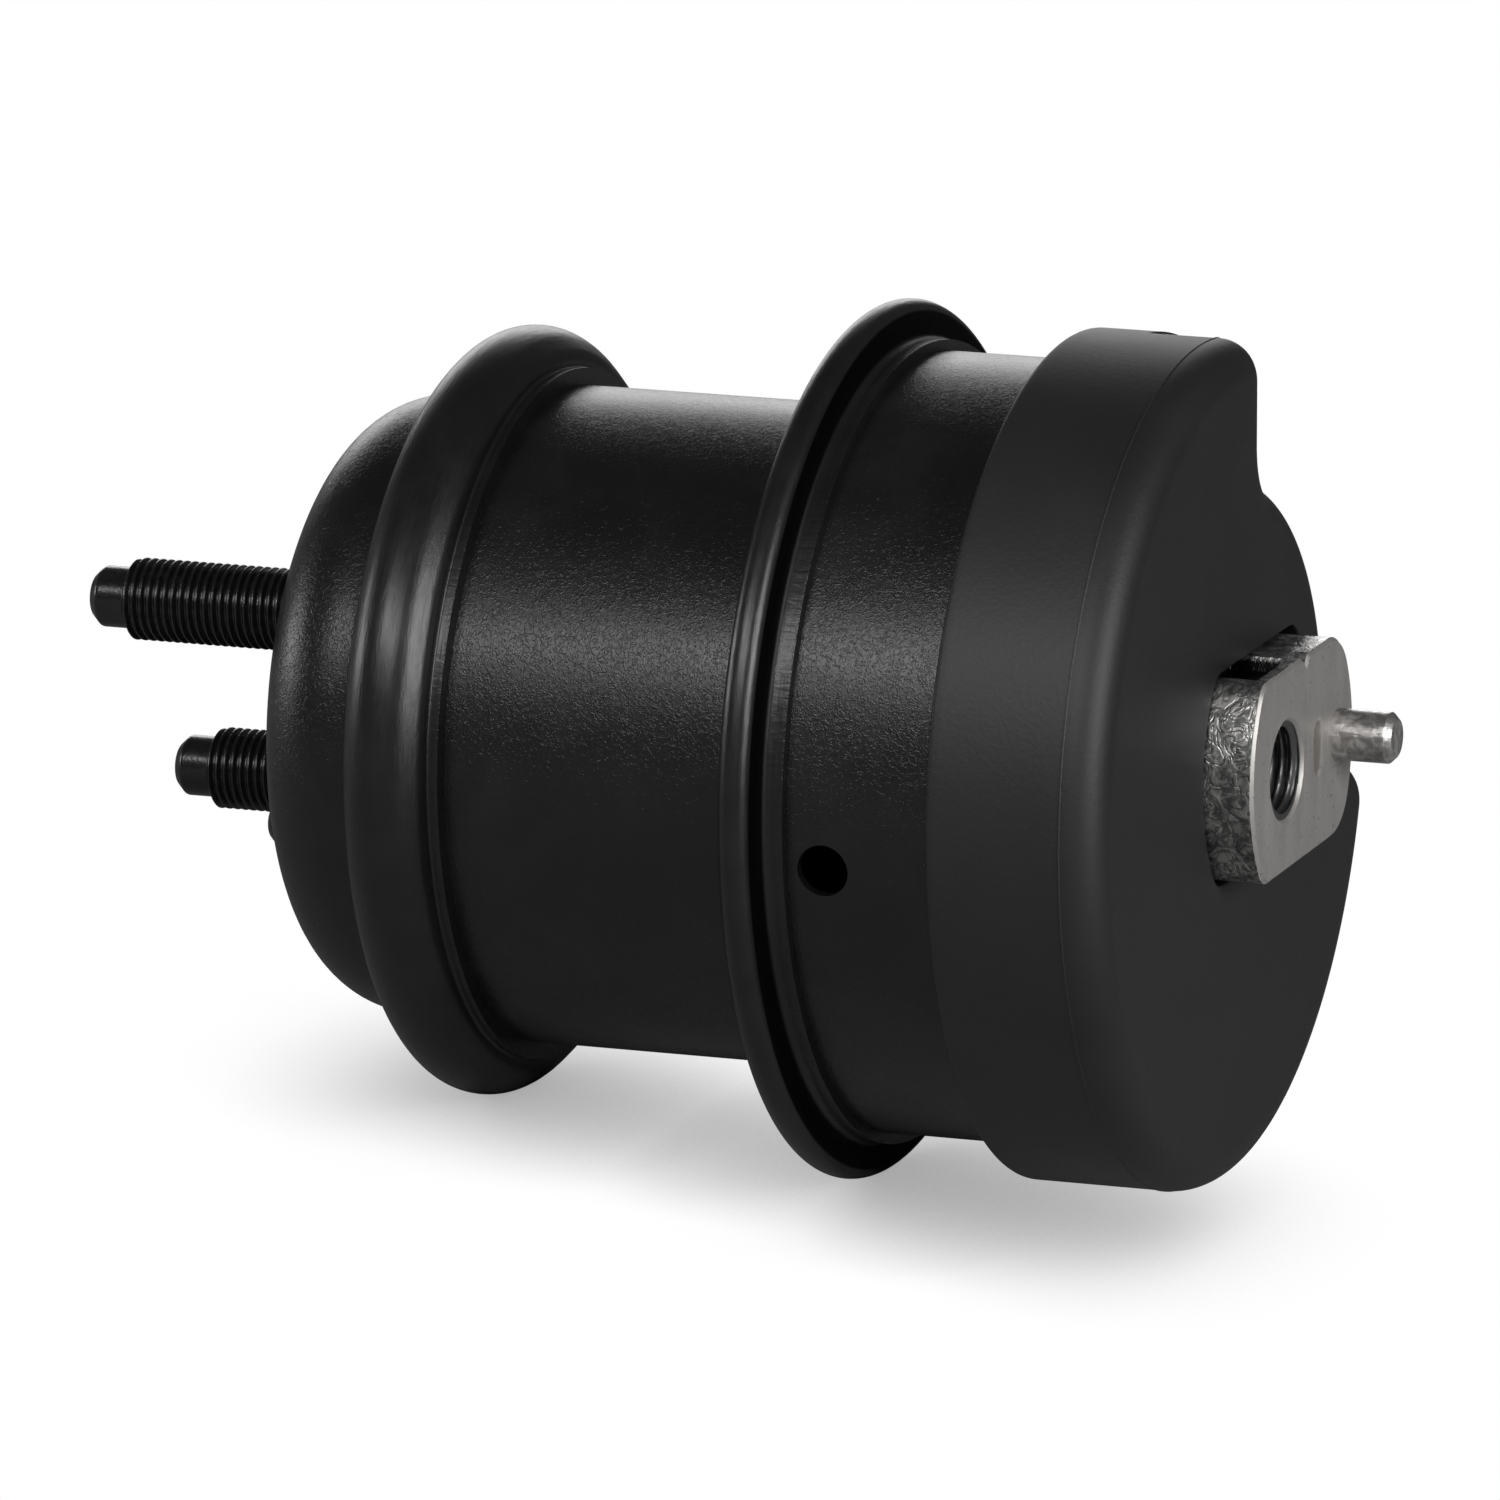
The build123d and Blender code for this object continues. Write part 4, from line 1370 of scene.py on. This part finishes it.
@dataclass
class Studio:
    """Floor, lamps, world and camera."""

    target: Triple = (0.061, 0.0, -0.0032)
    azimuth: float = 20.6
    elevation: float = 12.2
    distance: float = 2.302
    lens: float = 384.0
    sensor_width: float = 36.0
    clip_end: float = 100.0
    floor_first: Pair = (0.0247, -0.0558)
    floor_second: Pair = (0.0816, -0.0633)
    floor_size: float = 40.0
    floor_gap: float = 0.05 * MM
    floor_level: float = 0.35
    shade_reach: float = 0.03
    shade_samples: int = 12
    lamps: tuple[Lamp, ...] = (
        Lamp("key", -14.0, 34.5, 1.3, (0.6, 0.18), 4.6),
        Lamp("front", 14.0, 31.0, 1.3, (0.4, 0.2), 3.2),
        Lamp("left", -85.0, 10.0, 1.3, (0.5, 0.3), 3.0),
        Lamp("rear", 205.0, 16.0, 1.5, (1.0, 0.6), 5.0),
        Lamp("right", 70.0, 18.0, 1.2, (0.5, 0.6), 8.6),
    )

    def camera(self) -> None:
        """Long lens at the photograph's viewing angle."""
        away, rotation = facing_back(self.azimuth, self.elevation)
        data = bpy.data.cameras.new("camera")
        data.lens = self.lens
        data.sensor_width = self.sensor_width
        data.clip_end = self.clip_end
        camera = bpy.data.objects.new("camera", data)
        camera.location = tuple(np.array(self.target) + self.distance * away)
        camera.rotation_euler = rotation
        bpy.context.scene.collection.objects.link(camera)
        bpy.context.scene.camera = camera

    def floor(self) -> None:
        """White floor that passes under both beads, on which the mount rests; to the camera it glows
        white, with a painted contact shadow where ambient occlusion finds the mount close.
        """
        x0, z0 = self.floor_first
        x1, z1 = self.floor_second
        slope = (z1 - z0) / (x1 - x0)
        half = self.floor_size / 2
        xs = np.array([-half, half, half, -half])
        ys = np.array([-half, -half, half, half])
        points = np.column_stack([xs, ys, z0 + slope * (xs - x0) - self.floor_gap])
        mesh = bpy.data.meshes.new("floor")
        mesh.from_pydata(points.tolist(), [], [(0, 1, 2, 3)])
        floor = bpy.data.objects.new("floor", mesh)
        bpy.context.scene.collection.objects.link(floor)
        recipe = Recipe("white_floor")
        light = recipe.node("ShaderNodeLightPath", {}, {}, "Is Camera Ray")
        settings, inputs = {"samples": self.shade_samples}, {"Distance": self.shade_reach}
        # painted shadow: ambient occlusion darkens the floor's white glow towards near black near the
        # mount
        shade = recipe.node("ShaderNodeAmbientOcclusion", settings, inputs, "AO")
        bright = recipe.node("ShaderNodeEmission", {}, {"Color": (1, 1, 1, 1), "Strength": 1.0})
        dark = recipe.node("ShaderNodeEmission", {}, {"Color": (0.02, 0.02, 0.022, 1), "Strength": 1.0})
        shown = recipe.node("ShaderNodeMixShader", {}, {0: shade.rise(-0.55, 0.95), 1: dark, 2: bright})
        matte = recipe.node("ShaderNodeBsdfDiffuse", {}, {"Color": grey(self.floor_level)})
        mixed = recipe.node("ShaderNodeMixShader", {}, {0: light, 1: matte, 2: shown})
        mesh.materials.append(recipe.end(mixed))

    def world(self) -> None:
        """White to the camera, dim grey to everything else."""
        world = bpy.data.worlds.new("studio")
        bpy.context.scene.world = world
        world.use_nodes = True
        tree = world.node_tree
        tree.nodes.clear()
        path = tree.nodes.new("ShaderNodeLightPath")
        dim = tree.nodes.new("ShaderNodeBackground")
        dim.inputs["Color"].default_value = (0.07, 0.07, 0.072, 1)
        white = tree.nodes.new("ShaderNodeBackground")
        white.inputs["Color"].default_value = (1, 1, 1, 1)
        mix = tree.nodes.new("ShaderNodeMixShader")
        out = tree.nodes.new("ShaderNodeOutputWorld")
        tree.links.new(path.outputs["Is Camera Ray"], mix.inputs[0])
        tree.links.new(dim.outputs[0], mix.inputs[1])
        tree.links.new(white.outputs[0], mix.inputs[2])
        tree.links.new(mix.outputs[0], out.inputs["Surface"])

    def build(self) -> None:
        """Sets the stage."""
        self.camera()
        self.floor()
        self.world()
        for lamp in self.lamps:
            lamp.light(self.target)
        bpy.context.scene.view_settings.view_transform = "Standard"


def main() -> None:
    """Builds the mount's pieces and the studio."""
    logging.basicConfig(level=logging.INFO, format="%(message)s")
    Shells().build()
    FrameStuds(StudCoat("stud_coat")).build()
    boss = Boss(WornSteel("worn_pin_steel"))
    boss.build()
    RubberCap(MouldedRubber("moulded_cap_rubber"), boss).build()
    inner_steel = WornSteel("plain_inner_steel", 0.45, 0.35)
    alloy = WornSteel("cast_track_alloy", 0.6, 0.45)
    InnerPieces(inner_steel, alloy, MouldedRubber("inner_spring_rubber", 0.02)).build()
    Studio().build()


if __name__ == "__main__":
    main()
